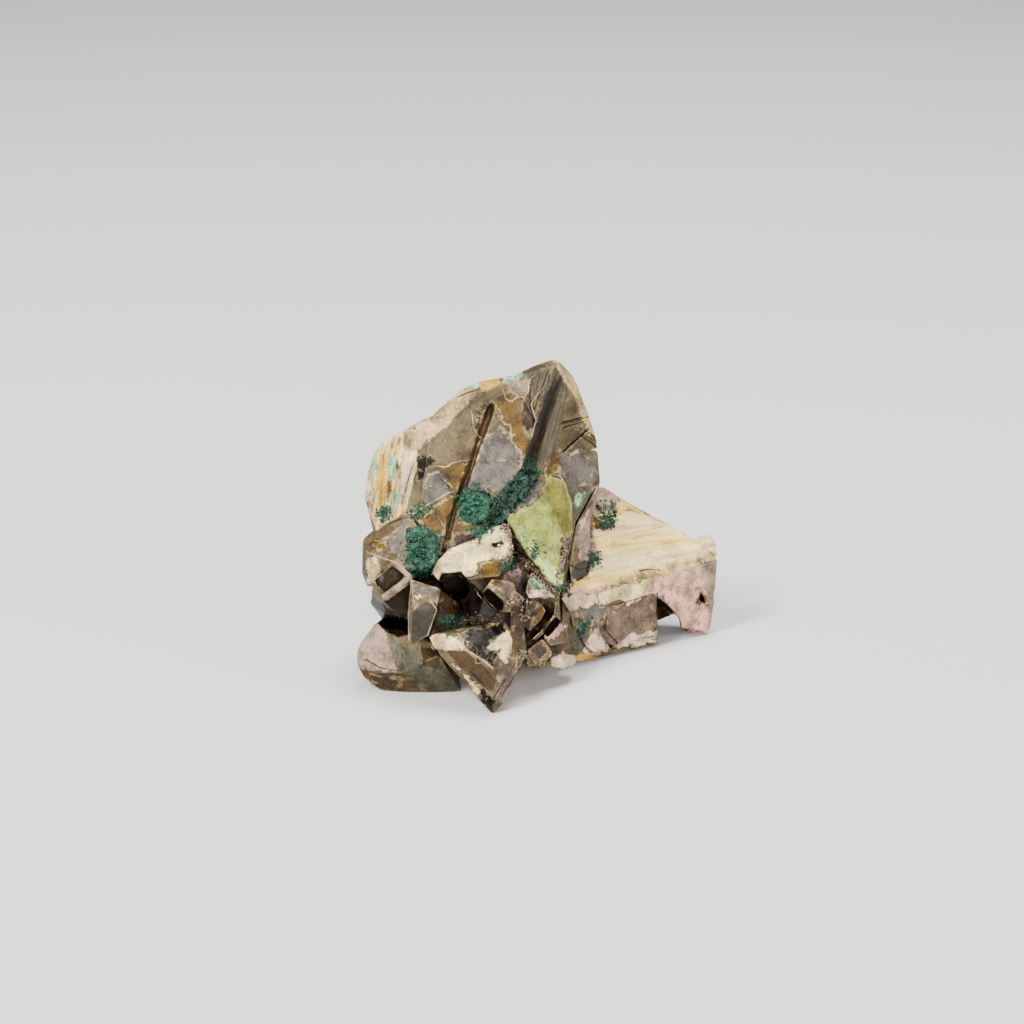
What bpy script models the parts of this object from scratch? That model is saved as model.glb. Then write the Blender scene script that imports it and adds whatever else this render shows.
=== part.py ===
"""A kesterite hand specimen: metallic crystals grown through each other, with teal-green mineral crusts.

Corners of the front are given in millimetres on a sketching board that leans back: across, up and toward the
person who sketches. Corners of the back are given in plain x, y and z. The specimen rests on z = 0.
"""

import random
from math import cos, pi, radians, sin

import bmesh
import bpy
from mathutils import Euler, Vector

MM = 0.001
BOARD_LEAN = radians(17.6)
SIGHT_DISTANCE = 250.0
SIGHT_ACROSS = -2.17
SIGHT_UP = 12.67
FOOTPRINT_MIDDLE = Vector((0.29, -0.265, 0.0))
BED_SIZE = 60.0
CRUST_GAP = 0.3
GRAIN_SEED = 7
GRAINS_PER_CRUST = 20
GRAIN_RADII = (0.22, 0.34)
SMALL_CRYSTAL_SEED = 11
SMALL_CRYSTAL_SHAPE = (1.0, 0.75, 0.6)
SMALL_CRYSTAL_LEAN = (0.5, 0.9, 0.3)
SMALL_CRYSTAL_LEAN_SPREAD = 0.45
SMALL_CRYSTAL_MOST_CUT = 0.4
RIDGE_SEED = 5
RIDGE_ROOT = 0.15
RIDGE_TOP_SHARE = 0.5
RIDGE_SLOPE_SHARE = 0.8
RIDGE_SLOPE_HEIGHT = 0.35
ROOF_RIDGE_RISE = 0.235
ROOF_RIDGE_START = 3.7
ROOF_BACK_EDGE_DROP = 0.533
ROOF_BACK_EDGE_UP = 15.456
FLANK_RIDGE_LEAN = 0.07
GROOVE_LIP = 1.0
GROOVE_OVERLAP = 0.12
GROOVE_STEP_OVERLAP = 0.2
GROOVE_STEP_NARROWER = 0.22
GROOVE_STEP_SHALLOWER = 0.15


def world(x, y, z):
    """A place in the specimen's own frame, in metres from the middle of its footprint."""
    return (Vector((x, y, z)) - FOOTPRINT_MIDDLE) * MM


def seen(across, up, toward):
    """The place sketched at (across, up) on the board and standing out of it by toward."""
    nearer = 1 - toward / SIGHT_DISTANCE
    x = SIGHT_ACROSS + (across - SIGHT_ACROSS) * nearer
    risen = SIGHT_UP + (up - SIGHT_UP) * nearer
    y = risen * sin(BOARD_LEAN) - toward * cos(BOARD_LEAN)
    z = risen * cos(BOARD_LEAN) + toward * sin(BOARD_LEAN)
    return world(x, y, z)


def panel(across, up, proud=0.0):
    """A corner on the broad front face of the upright crystal."""
    return across, up, 7.3 - 0.1 * (up - 17.75) - 0.05 * (across + 10) + proud


def flank(across, up, proud=0.0):
    """A corner on the striated face that looks left."""
    return across, up, 7.1 - 0.2 * (up - 17.8) + 0.62 * (across + 10.2) + proud


def right_face(across, up, proud=0.0):
    """A corner on the face right of the deep groove, under the yellow-green patch too."""
    return across, up, 5.4 + 0.133 * (up - 22.5) - 0.75 * (across - 2.3) + proud


def arm_top(across, up, proud=0.0):
    """A corner on the striated roof of the arm."""
    return across, up, 3.0 - 0.566 * (across - 2) - 0.396 * (up - 5.6) + proud


def arm_front(across, up, proud=0.0):
    """A corner on the upright front of the arm."""
    return across, up, 3.0 - 0.738 * (across - 2) + 0.317 * (up - 5.6) + proud


def hull(name, front=(), back=()):
    """A convex crystal whose corners are given on the board and in plain coordinates."""
    mesh = bmesh.new()
    for corner in front:
        mesh.verts.new(seen(*corner))
    for corner in back:
        mesh.verts.new(world(*corner))
    made = bmesh.ops.convex_hull(mesh, input=mesh.verts)
    spare = set(made["geom_interior"]) | set(made["geom_unused"])
    bmesh.ops.delete(mesh, geom=[g for g in spare if isinstance(g, bmesh.types.BMVert)], context="VERTS")
    bmesh.ops.recalc_face_normals(mesh, faces=mesh.faces)
    data = bpy.data.meshes.new(name)
    mesh.to_mesh(data)
    mesh.free()
    return bpy.data.objects.new(name, data)


def upright_crystals():
    """The tall leaning crystal: panel, apex, flank and the blade right of the deep groove."""
    groove_floor = [
        (2.2, 24.2, 4.9), (1.2, 21.1, 4.4), (0.25, 18.5, 4.5), (-0.5, 16.6, 4.7),
        (-1.8, 14.5, 5.3), (-3.0, 12.4, 6.2), (-4.7, 10.8, 7.1),
    ]
    yield hull("panel_crystal", groove_floor + [
        panel(-9.2, 18.3), panel(-5.7, 21.8), panel(-4.9, 22.75), panel(-3.25, 23.4), panel(0.25, 24.55),
        panel(1.2, 24.7), panel(0.75, 22.3), panel(-0.1, 20.2), panel(-0.8, 17.7), panel(-1.9, 15.2),
        panel(-3.2, 12.9), panel(-4.7, 11.0), panel(-8.0, 9.0), panel(-9.8, 9.5), panel(-10.0, 12.0),
        (-8.7, 20.9, 5.9), (-7.3, 22.1, 5.6), (-6.3, 23.0, 5.4), (-5.0, 23.5, 5.3), (-3.3, 23.85, 5.2),
    ], [
        (-9.0, 3.0, 9.0), (-8.0, 4.5, 18.5), (-5.0, 5.8, 21.0), (0.5, 6.3, 22.6), (1.5, 5.5, 11.0),
        (-8.0, 3.0, 5.0),
    ])
    yield hull("apex_crystal", groove_floor[:3] + [
        panel(-2.2, 23.8, -0.1), panel(0.25, 24.6, 0.2), panel(1.25, 24.85, 0.1), panel(0.85, 22.3, 0.2),
        panel(0.0, 20.0, 0.2), panel(-0.7, 21.0, 0.2), panel(-0.5, 23.4, 0.2),
        (-1.8, 24.15, 5.3), (-0.3, 24.9, 5.2), (1.2, 25.4, 5.0), (1.75, 25.3, 4.7),
    ], [(-1.5, 6.0, 21.5), (0.0, 5.8, 23.6), (1.8, 6.0, 23.4), (1.5, 6.5, 19.0)])
    yield hull("flank_crystal", [
        panel(-10.2, 17.8, -0.1), panel(-7.5, 19.6, -0.2), panel(-7.0, 12.0, -0.2), panel(-9.5, 10.0, -0.2),
        panel(-10.0, 15.8, -0.1), panel(-11.0, 12.7, -0.15), flank(-10.4, 19.75), flank(-11.4, 19.4),
        flank(-13.1, 18.4), flank(-13.6, 17.8), flank(-13.7, 13.0), flank(-13.5, 11.2), flank(-13.2, 9.0),
        (-9.5, 20.25, 5.9), (-8.7, 20.8, 5.7), (-14.0, 16.8, 4.2), (-14.4, 15.1, 4.2), (-14.45, 13.8, 4.4),
        (-14.2, 13.0, 4.6), (-13.7, 11.9, 5.0),
    ], [(-12.6, 3.0, 14.5), (-10.5, 4.5, 17.0), (-12.0, 2.5, 7.0), (-9.0, 5.0, 12.0)])
    yield hull("right_blade", groove_floor[1:5] + [
        right_face(2.3, 22.5), right_face(3.4, 22.0), right_face(4.1, 20.9), right_face(4.95, 18.4),
        right_face(5.2, 15.4), right_face(4.6, 14.2), right_face(3.0, 11.6), right_face(2.5, 8.7),
        right_face(1.9, 6.3), right_face(0.8, 8.0), right_face(-0.2, 13.0), right_face(0.6, 15.9),
        right_face(1.4, 18.0), right_face(1.8, 20.0),
        (1.75, 25.3, 4.7), (2.75, 24.25, 3.6), (3.5, 22.75, 3.2), (1.25, 24.8, 5.4), (2.2, 24.2, 5.0),
    ], [
        (4.0, 6.5, 14.0), (3.6, 6.3, 18.0), (2.6, 6.2, 21.5), (0.5, 6.8, 20.0), (1.0, 6.0, 7.0),
        (4.0, 5.0, 8.0),
    ])
    yield hull("patch_lobe", [
        right_face(0.5, 15.2, 0.2), right_face(2.3, 15.3, 0.2), right_face(2.7, 12.0, 0.25),
        right_face(2.45, 9.5, 0.25), right_face(1.85, 6.1, 0.3), right_face(1.0, 6.9, 0.3),
        right_face(-0.1, 8.25, 0.2), right_face(-1.3, 9.9, 0.1), right_face(-2.5, 12.2, 0.1),
        right_face(-0.75, 13.0, 0.25),
        (0.6, 15.9, 5.7), (-0.4, 15.3, 5.6), (-1.4, 14.3, 6.1), (-2.2, 13.4, 6.7), (-2.9, 12.4, 7.2),
        (-2.0, 10.0, 3.0), (1.5, 7.0, 1.0), (2.0, 14.0, 2.0),
    ])
    yield hull("corner_prism", [
        (3.2, 11.4, 3.2), (3.8, 12.25, 2.5), (4.3, 12.3, 2.0), (4.35, 9.9, 2.1), (4.05, 8.4, 2.3),
        (2.6, 8.1, 3.5), (3.9, 7.4, 1.6), (2.75, 6.8, 2.6), (2.6, 12.4, -2.0), (4.2, 12.2, -3.0),
        (3.9, 7.5, -2.5), (2.7, 7.0, 0.0),
    ])


def arm_crystals():
    """The long arm that runs back to the right, its roof striated along its length."""
    yield hull("arm_crystal", [
        arm_top(2.0, 5.6), arm_top(15.0, 8.75), arm_top(13.0, 10.5), arm_top(6.9, 13.75),
        arm_top(5.3, 14.7), arm_top(1.5, 14.7),
        arm_front(2.0, 0.3), arm_front(3.4, 0.2), arm_front(6.9, 1.3), arm_front(9.75, 2.1),
        arm_front(12.3, 2.9), arm_front(14.3, 2.7), arm_front(13.7, 2.45), arm_front(14.7, 5.6),
    ], [
        (13.8, 9.2, 1.0), (14.0, 9.4, 6.0), (11.0, 10.2, 1.4), (4.0, 8.8, 1.6), (3.0, 8.6, 10.0),
        (9.0, 10.0, 8.0),
    ])
    yield hull("arm_end_knob", [
        (13.0, 10.4, -5.6), (13.7, 10.85, -6.2), (14.3, 10.85, -6.3), (14.85, 10.1, -6.0), (15.0, 9.1, -5.7),
        (13.9, 9.8, -5.2), (14.7, 9.0, -6.6), (13.5, 9.5, -7.0),
    ], [(13.4, 9.6, 7.4), (13.4, 8.4, 5.6)])
    yield hull("arm_shoulder_step", [
        arm_top(5.2, 14.9, 0.1), arm_top(5.7, 14.25, 0.25), arm_top(6.9, 13.85, 0.25),
        arm_top(7.7, 12.95, 0.25), arm_top(5.4, 12.6, 0.25), arm_top(4.6, 13.6, 0.2),
        arm_top(5.0, 13.0, -1.0), arm_top(7.3, 12.9, -1.0), arm_top(5.5, 14.4, -1.0),
    ])
    yield hull("arm_middle_step", [
        arm_top(7.5, 12.85, 0.1), arm_top(8.5, 12.45, 0.2), arm_top(9.35, 12.35, 0.2),
        arm_top(10.3, 11.75, 0.15), arm_top(9.6, 11.5, 0.15), arm_top(4.2, 10.3, -0.3),
        arm_top(4.2, 12.7, -0.3),
        arm_top(8.0, 11.6, -1.0), arm_top(9.8, 11.6, -1.0),
    ])
    for upper, lower in (
        (((1.9, 5.5), (6.3, 6.25)), ((5.9, 5.05), (2.65, 4.25))),
        (((2.75, 4.2), (5.85, 4.95)), ((5.75, 3.95), (4.2, 3.5), (2.9, 3.1))),
        (((5.95, 5.1), (9.55, 5.7)), ((9.65, 2.5), (8.3, 2.1), (6.9, 1.6), (5.6, 2.9))),
        (((3.3, 3.0), (5.3, 3.1)), ((5.6, 1.3), (4.7, 0.9), (3.9, 1.6))),
        (((7.7, 2.9), (9.6, 2.8)), ((9.5, 2.0), (8.4, 1.95))),
    ):
        yield hull("arm_plate", [
            *(arm_front(a, u, 0.04) for a, u in upper),
            *(arm_front(a, u, 0.32) for a, u in lower),
            *(arm_front(a, u + 0.15, -1.0) for a, u in lower),
            *(arm_front(a, u - 0.3, -1.0) for a, u in upper),
        ])


def left_crystals():
    """The knob, the mirror-faced crystal, the spear and the low block at the left."""
    yield hull("left_knob", [
        (-13.75, 11.2, 5.0), (-10.9, 12.4, 7.5), (-10.5, 12.3, 7.8), (-9.0, 10.2, 8.5), (-8.9, 8.3, 9.1),
        (-10.5, 8.1, 9.5), (-11.9, 8.6, 9.1), (-13.7, 9.0, 7.8), (-14.6, 10.45, 5.6), (-14.7, 10.0, 5.8),
        (-14.7, 7.6, 6.2), (-14.25, 6.5, 6.4), (-13.5, 6.8, 8.0), (-12.0, 6.8, 8.3),
        (-13.5, 10.5, 2.0), (-9.0, 10.0, 3.0), (-13.8, 6.5, 3.0), (-9.0, 7.0, 3.0),
    ])
    yield hull("mirror_crystal", [
        (-13.7, 7.0, 8.3), (-12.2, 8.3, 8.7), (-11.8, 8.6, 8.7), (-10.9, 7.2, 9.8), (-10.5, 7.2, 9.9),
        (-12.85, 5.7, 9.25), (-12.95, 5.35, 9.15), (-11.5, 3.9, 8.3), (-10.8, 4.4, 8.8), (-13.9, 5.7, 7.6),
        (-12.8, 4.2, 7.4), (-14.0, 5.0, 6.0),
        (-13.3, 7.0, 4.5), (-10.5, 8.0, 5.0), (-10.5, 4.5, 5.0), (-12.8, 3.5, 4.5),
    ])
    yield hull("spear_crystal", [
        (-10.6, 7.1, 10.3), (-8.1, 6.3, 10.0), (-10.3, 4.5, 11.5), (-10.6, 1.6, 11.0), (-10.85, 2.0, 10.6),
        (-10.9, 4.3, 10.8), (-9.1, 2.4, 10.6), (-8.4, 4.6, 10.6), (-10.7, 6.8, 7.0), (-8.0, 6.0, 7.0),
        (-8.5, 3.0, 7.0), (-10.4, 2.4, 7.0),
    ])
    yield hull("brown_side_crystal", [
        (-8.5, 5.2, 10.1), (-9.0, 2.6, 10.2), (-8.2, 6.2, 9.6), (-6.1, 4.3, 7.6), (-6.6, 3.2, 8.6),
        (-6.6, 5.8, 7.4), (-8.5, 3.0, 6.0), (-6.5, 4.5, 5.5), (-8.5, 5.8, 6.0),
    ])
    yield hull("low_block", [
        (-13.0, 3.75, 5.6), (-13.75, 3.2, 5.6), (-14.6, 2.0, 5.6), (-15.1, 1.1, 5.6), (-15.1, 0.0, 5.7),
        (-14.6, -1.1, 5.6), (-13.1, -2.15, 5.9), (-11.4, -2.45, 6.1), (-9.2, -2.5, 6.2), (-6.3, -2.45, 6.0),
        (-12.1, 0.3, 7.2), (-11.5, -0.7, 7.6), (-8.2, 0.75, 7.2), (-9.1, 2.0, 6.8), (-11.1, 2.9, 6.6),
        (-12.5, 2.9, 6.5),
    ], [
        (-14.0, -2.0, -0.1), (-12.5, -2.0, 5.0), (-7.0, 1.5, -0.1), (-8.0, 1.0, 4.0), (-12.5, 1.0, -0.1),
        (-14.2, -2.0, 2.5), (-12.5, 1.5, 3.5),
    ])


def middle_crystals():
    """The pale lens, the small dark crystals under it and the heart that all of them grow from."""
    yield hull("pale_lens", [
        (-8.9, 7.7, 9.6), (-8.5, 8.6, 9.2), (-7.2, 9.7, 8.4), (-4.75, 10.5, 8.1), (-3.5, 11.5, 7.9),
        (-2.5, 11.6, 7.7), (-2.1, 9.7, 8.2), (-2.75, 8.7, 8.8), (-3.25, 7.3, 9.4), (-5.7, 7.3, 9.9),
        (-8.1, 6.75, 10.1), (-8.0, 7.0, 6.0), (-7.0, 9.0, 4.0), (-3.0, 11.0, 4.0), (-2.3, 8.0, 5.0),
    ])
    yield hull("six_sided_crystal", [
        (-8.1, 6.9, 10.6), (-7.75, 7.5, 10.3), (-6.5, 7.5, 10.3), (-6.3, 7.2, 10.4), (-6.9, 6.25, 10.9),
        (-7.7, 6.3, 10.9), (-5.6, 6.2, 9.6), (-7.1, 5.6, 10.2), (-6.0, 5.4, 9.0), (-7.8, 6.5, 7.0),
        (-5.6, 6.8, 7.0), (-6.5, 5.4, 7.0),
    ])
    yield hull("beige_knob", [
        (-4.25, 6.4, 10.3), (-3.0, 5.25, 10.7), (-3.0, 4.7, 10.5), (-3.4, 4.35, 10.2), (-4.8, 5.8, 9.8),
        (-2.75, 7.0, 10.0), (-2.0, 6.5, 9.9), (-1.75, 5.3, 9.9), (-2.4, 4.3, 9.9), (-3.9, 7.2, 9.2),
        (-4.5, 6.0, 6.5), (-2.0, 6.8, 6.0), (-2.0, 4.5, 6.0), (-3.5, 4.3, 7.0),
    ])
    yield hull("front_tooth", [
        (-9.1, 2.5, 10.2), (-6.6, 2.6, 10.8), (-5.6, 3.1, 10.0), (-2.7, 3.55, 9.2), (-1.75, 2.0, 9.4),
        (-6.1, 1.2, 12.0), (-3.8, -0.3, 12.3), (-1.7, -0.7, 10.4), (-2.9, -3.2, 10.4), (-3.75, -4.25, 10.7),
        (-4.3, -3.6, 10.7), (-5.0, -2.6, 10.7), (-6.3, -0.3, 10.9), (-7.6, 0.75, 10.9), (-8.5, 1.2, 10.6),
        (-8.5, 1.3, 7.5), (-2.3, 2.5, 6.0), (-2.2, -0.6, 7.5), (-5.0, -1.0, 8.0), (-6.5, 3.0, 7.0),
    ])
    yield hull("heart", [
        (-9.0, 1.5, 6.4), (-2.0, 0.5, 6.0), (-2.0, 6.5, 5.6), (-9.0, 6.5, 6.0), (1.8, 5.6, 3.0),
        (2.0, 0.0, 3.2), (0.0, -0.2, 4.9), (-0.5, 5.5, 4.9), (-11.5, 6.5, 5.8), (-11.5, 3.0, 5.3),
        (-1.0, 8.6, 5.4), (0.9, 7.0, 4.0),
    ], [
        (-9.0, 4.0, 1.2), (2.0, 6.5, 0.9), (2.5, 7.0, 8.0), (-9.0, 5.0, 9.0), (-12.0, 2.5, 6.0),
    ])
    yield hull("pink_facet_crystal", [
        (-1.05, 6.15, 8.7), (-0.75, 5.5, 8.7), (1.25, 5.65, 5.9), (0.7, 6.3, 5.7), (-0.85, 6.95, 7.9),
        (-0.5, 7.6, 6.8), (-1.0, 6.3, 5.5), (1.0, 6.0, 3.5),
    ])
    yield hull("left_column", [
        (-2.2, 6.3, 9.3), (-1.3, 5.7, 8.9), (-1.1, 3.0, 8.6), (-1.0, 0.8, 8.8), (-1.65, -0.6, 9.2),
        (-2.4, 1.5, 9.4), (-2.3, 5.0, 6.0), (-1.3, 5.2, 5.5), (-1.3, 0.2, 6.0), (-2.2, 0.4, 6.5),
    ])
    yield hull("pink_wedge", [
        (0.4, 2.25, 6.3), (1.0, 1.5, 6.4), (2.4, 3.2, 4.7), (1.4, 4.05, 5.0), (2.6, 1.8, 4.5),
        (0.6, 2.0, 4.0), (2.3, 2.6, 2.5), (1.5, 3.5, 2.5),
    ])
    yield hull("brown_facet_crystal", [
        (-0.95, 5.35, 7.2), (0.0, 5.35, 6.7), (0.65, 4.5, 6.2), (0.25, 3.6, 6.3), (-0.7, 2.7, 7.3),
        (-1.2, 3.2, 7.8), (-0.9, 5.0, 4.5), (0.4, 4.6, 4.0), (-0.8, 2.9, 4.5),
    ])
    for high, low in (((1.5, 5.2, 4.9), (1.45, 4.2, 5.5)), ((1.45, 4.2, 5.5), (0.75, 3.1, 6.3)),
                      ((0.75, 3.1, 6.3), (-0.4, 2.1, 7.2))):
        rims = [(a + left, u + 0.12 - left, t - 0.1) for a, u, t in (high, low) for left in (0.0, 0.22)]
        yield hull("curved_rim", rims + [(a - 0.1, u, t) for a, u, t in (high, low)]
                   + [(a + 0.2, u, 3.5) for a, u, _ in (high, low)])
    yield hull("dark_cube", [
        (-0.95, 1.2, 7.7), (0.4, 2.2, 6.8), (1.25, 0.95, 6.4), (0.2, 0.1, 7.3), (-0.9, -0.25, 7.3),
        (0.3, -0.4, 5.6), (-0.8, 1.2, 5.0), (1.0, 0.8, 4.0), (-1.0, -0.3, 5.5),
    ])
    yield hull("white_knob", [
        (1.0, 0.6, 5.9), (2.2, 0.95, 5.4), (3.1, 0.6, 4.6), (3.15, 0.0, 4.5), (2.2, -0.45, 5.0),
        (1.0, -0.35, 5.6), (0.4, -0.3, 5.4), (2.9, 0.3, 2.5), (1.2, 0.2, 3.0), (1.9, 0.3, 5.9),
    ])


def back_crystals():
    """The crystals of the far side, with the two corners that it rests on there."""
    yield hull("back_slab", (), [
        (-10.6, 0.9, 3.6), (-11.8, 1.5, 11.0), (-8.5, 5.6, 14.5), (-4.0, 8.0, 13.0), (-2.0, 8.8, 8.0),
        (-4.5, 8.6, 2.5), (-9.0, 6.0, 2.0), (-3.0, 4.0, 4.0), (-8.0, 2.0, 15.0),
    ])
    yield hull("back_point", (), [
        (-2.0, 6.0, 19.5), (2.5, 6.5, 18.5), (3.2, 8.6, 12.0), (-1.5, 8.9, 14.0), (-4.0, 7.2, 17.0),
        (0.5, 9.3, 9.5), (-3.0, 7.0, 8.0), (3.0, 5.0, 9.0),
    ])
    yield hull("rear_foot", (), [
        (-5.0, 7.0, -0.1), (-4.0, 9.0, -0.1), (-0.5, 8.0, -0.1), (-2.5, 5.0, -0.2), (-5.5, 8.5, 4.5),
        (0.5, 9.4, 6.5), (2.0, 7.0, 5.0), (-6.0, 5.0, 5.0), (-2.0, 9.9, 5.0),
    ])
    yield hull("arm_foot", [
        arm_front(12.3, 2.9, 0.1), arm_front(13.7, 2.45, 0.1), arm_front(14.15, 2.7, 0.1),
        arm_front(14.5, 4.9, -0.15), arm_front(12.4, 5.0, -0.15),
    ], [(12.6, 8.8, -0.1), (14.0, 8.6, -0.1), (13.6, 7.4, -0.1), (13.7, 8.9, 4.2), (12.2, 9.0, 4.2)])
    yield hull("arm_back_ridge", (), [
        (5.0, 6.4, 10.6), (7.0, 9.2, 9.3), (11.5, 10.3, 6.0), (10.0, 10.6, 2.2), (4.5, 10.0, 3.0),
        (6.0, 7.0, 5.0),
    ])


def small_crystal(place, size, dice):
    """A wedge-shaped crystal with its corners cut off, turned nearly like its neighbours."""
    spread = SMALL_CRYSTAL_LEAN_SPREAD
    turn = Euler([lean + dice.uniform(-spread, spread) for lean in SMALL_CRYSTAL_LEAN]).to_matrix()
    corners = []
    for tip in ((1, 1, 1), (1, -1, -1), (-1, 1, -1), (-1, -1, 1)):
        for axis in range(3):
            cut = Vector(tip)
            cut[axis] *= dice.uniform(0.0, SMALL_CRYSTAL_MOST_CUT)
            stretched = Vector(a * b for a, b in zip(cut, SMALL_CRYSTAL_SHAPE))
            corners.append(Vector(place) + turn @ stretched * size / 2)
    return hull("small_crystal", (), corners)


def small_back_crystals():
    """Smaller crystals that grew on the far side, biggest in the corners between the large ones."""
    dice = random.Random(SMALL_CRYSTAL_SEED)
    for x, y, z, size in (
        (-9.3, 4.2, 3.2, 4.6), (-6.6, 6.6, 3.6, 3.4), (-4.2, 7.2, 10.2, 4.0), (-8.4, 4.4, 12.6, 5.2),
        (-6.2, 5.2, 16.4, 4.6), (-10.9, 2.8, 8.8, 4.4), (-1.0, 7.9, 11.2, 3.2), (-0.2, 7.6, 7.4, 4.6),
        (1.9, 7.2, 3.6, 4.4), (3.2, 7.3, 8.6, 5.0), (2.0, 7.4, 13.7, 3.0), (-0.6, 5.8, 20.0, 4.0),
        (2.6, 5.3, 18.6, 3.6), (6.4, 8.6, 6.8, 4.2), (9.6, 9.0, 4.4, 4.6), (12.0, 8.7, 5.8, 3.4),
        (-11.4, 2.4, 5.4, 4.0), (-11.5, 2.3, 12.0, 3.6), (-8.5, 1.6, 2.0, 3.4), (0.2, 7.0, 2.0, 3.2),
        (-10.6, 3.0, 15.0, 3.4), (7.3, 8.8, 3.0, 2.8), (-3.4, 8.0, 6.0, 3.4), (9.2, 8.4, 8.0, 3.2),
        (-1.7, 6.85, 16.1, 4.0), (-4.4, 5.4, 19.0, 3.4), (0.9, 5.6, 22.4, 2.4),
    ):
        yield small_crystal((x, y, z), size, dice)


def far_face(origin, along, upward):
    """A flat face of the far side: gives the place (a, u) from its origin, standing proud of it."""
    first = Vector(along).normalized()
    outward = Vector(upward).cross(first).normalized()
    second = first.cross(outward)

    def place(a, u, proud=0.0):
        return tuple(Vector(origin) + first * a + second * u + outward * proud)
    return place


def ridge(face, start, end, width, height, far=False):
    """A growth ridge that runs over a face from start to end, steep on one side."""
    along = Vector((end[0] - start[0], end[1] - start[1])).normalized()
    side = Vector((-along.y, along.x)) * width / 2
    corners = []
    for a, u in (start, end):
        steep = side * RIDGE_TOP_SHARE
        gentle = side * RIDGE_SLOPE_SHARE
        corners.append(face(a + side.x, u + side.y, -RIDGE_ROOT))
        corners.append(face(a - side.x, u - side.y, -RIDGE_ROOT))
        corners.append(face(a + steep.x, u + steep.y, height))
        corners.append(face(a - gentle.x, u - gentle.y, height * RIDGE_SLOPE_HEIGHT))
    return hull("growth_ridge", (), corners) if far else hull("growth_ridge", corners)


def growth_ridges():
    """Steps of growth along the arm's roof and down the flank."""
    for start_u, short, width, height in (
        (6.3, 4.5, 0.3, 0.08), (6.85, 1.9, 0.4, 0.1), (7.45, 0.25, 0.6, 0.2), (8.2, 0.9, 0.35, 0.1),
        (8.75, 0.15, 0.7, 0.2), (9.65, 0.5, 0.3, 0.1), (10.15, 0.1, 0.55, 0.2), (10.9, 1.0, 0.3, 0.1),
        (11.5, 0.55, 0.45, 0.16), (12.05, 0.7, 0.3, 0.1),
    ):
        length = (ROOF_BACK_EDGE_UP - start_u) / (ROOF_RIDGE_RISE + ROOF_BACK_EDGE_DROP) - short
        end = (ROOF_RIDGE_START + length, start_u + ROOF_RIDGE_RISE * length)
        yield ridge(arm_top, (ROOF_RIDGE_START, start_u), end, width, height)
    for top_a, top_u, drop, width, height in (
        (-10.75, 19.4, 6.9, 0.28, 0.16), (-11.25, 19.1, 6.6, 0.25, 0.1), (-11.75, 18.9, 7.0, 0.35, 0.17),
        (-12.35, 18.6, 6.4, 0.3, 0.12), (-12.9, 18.2, 6.8, 0.3, 0.15),
    ):
        yield ridge(flank, (top_a, top_u), (top_a - FLANK_RIDGE_LEAN * drop, top_u - drop), width, height)


def far_ridges():
    """Steps of growth on the large faces of the far side, in bundles that run one way on each face."""
    dice = random.Random(RIDGE_SEED)
    for origin, along, upward, start, length, count, spacing in (
        ((-4.4, 5.0, 14.7), (1.0, 0.16, 0.1), (0.0, 0.1, 1.0), -3.4, 6.0, 5, 0.9),
        ((-0.4, 6.0, 19.5), (-0.15, 0.05, -1.0), (1.0, 0.07, 0.0), -2.6, 5.4, 4, 0.8),
        ((-6.0, 7.0, 11.1), (0.88, 0.45, -0.1), (0.0, -0.07, 1.0), -1.6, 3.2, 4, 0.8),
        ((-7.6, 6.6, 5.3), (0.86, 0.5, 0.0), (0.0, -0.05, 1.0), -1.6, 3.6, 3, 0.9),
        ((0.3, 8.3, 12.5), (0.1, 0.2, -1.0), (1.0, 0.0, 0.0), -3.0, 5.4, 3, 1.0),
    ):
        face = far_face(origin, along, upward)
        for step in range(count):
            u = (step - (count - 1) / 2) * spacing + dice.uniform(-0.15, 0.15)
            a = start + dice.uniform(0.0, 1.0)
            end = a + length * dice.uniform(0.55, 0.95)
            yield ridge(face, (a, u), (end, u + 0.1), dice.uniform(0.35, 0.75), dice.uniform(0.12, 0.3), True)


def channel(face, line, width, depth):
    """A narrow groove cut into a face along a line of places, every other stretch a little smaller."""
    for number, ((a, u), (b, v)) in enumerate(zip(line, line[1:])):
        smaller = number % 2
        along = Vector((b - a, v - u)).normalized()
        side = Vector((-along.y, along.x)) * width / 2 * (1 - GROOVE_STEP_NARROWER * smaller)
        reach = along * (GROOVE_OVERLAP + GROOVE_STEP_OVERLAP * smaller)
        floor = -depth * (1 - GROOVE_STEP_SHALLOWER * smaller)
        corners = []
        for c, w in ((a - reach.x, u - reach.y), (b + reach.x, v + reach.y)):
            corners.append(face(c + side.x, w + side.y, GROOVE_LIP))
            corners.append(face(c - side.x, w - side.y, GROOVE_LIP))
            corners.append(face(c + side.x * 0.9, w + side.y * 0.9, floor * 0.8))
            corners.append(face(c - side.x * 0.3, w - side.y * 0.3, floor))
        yield hull("channel", corners)


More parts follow.
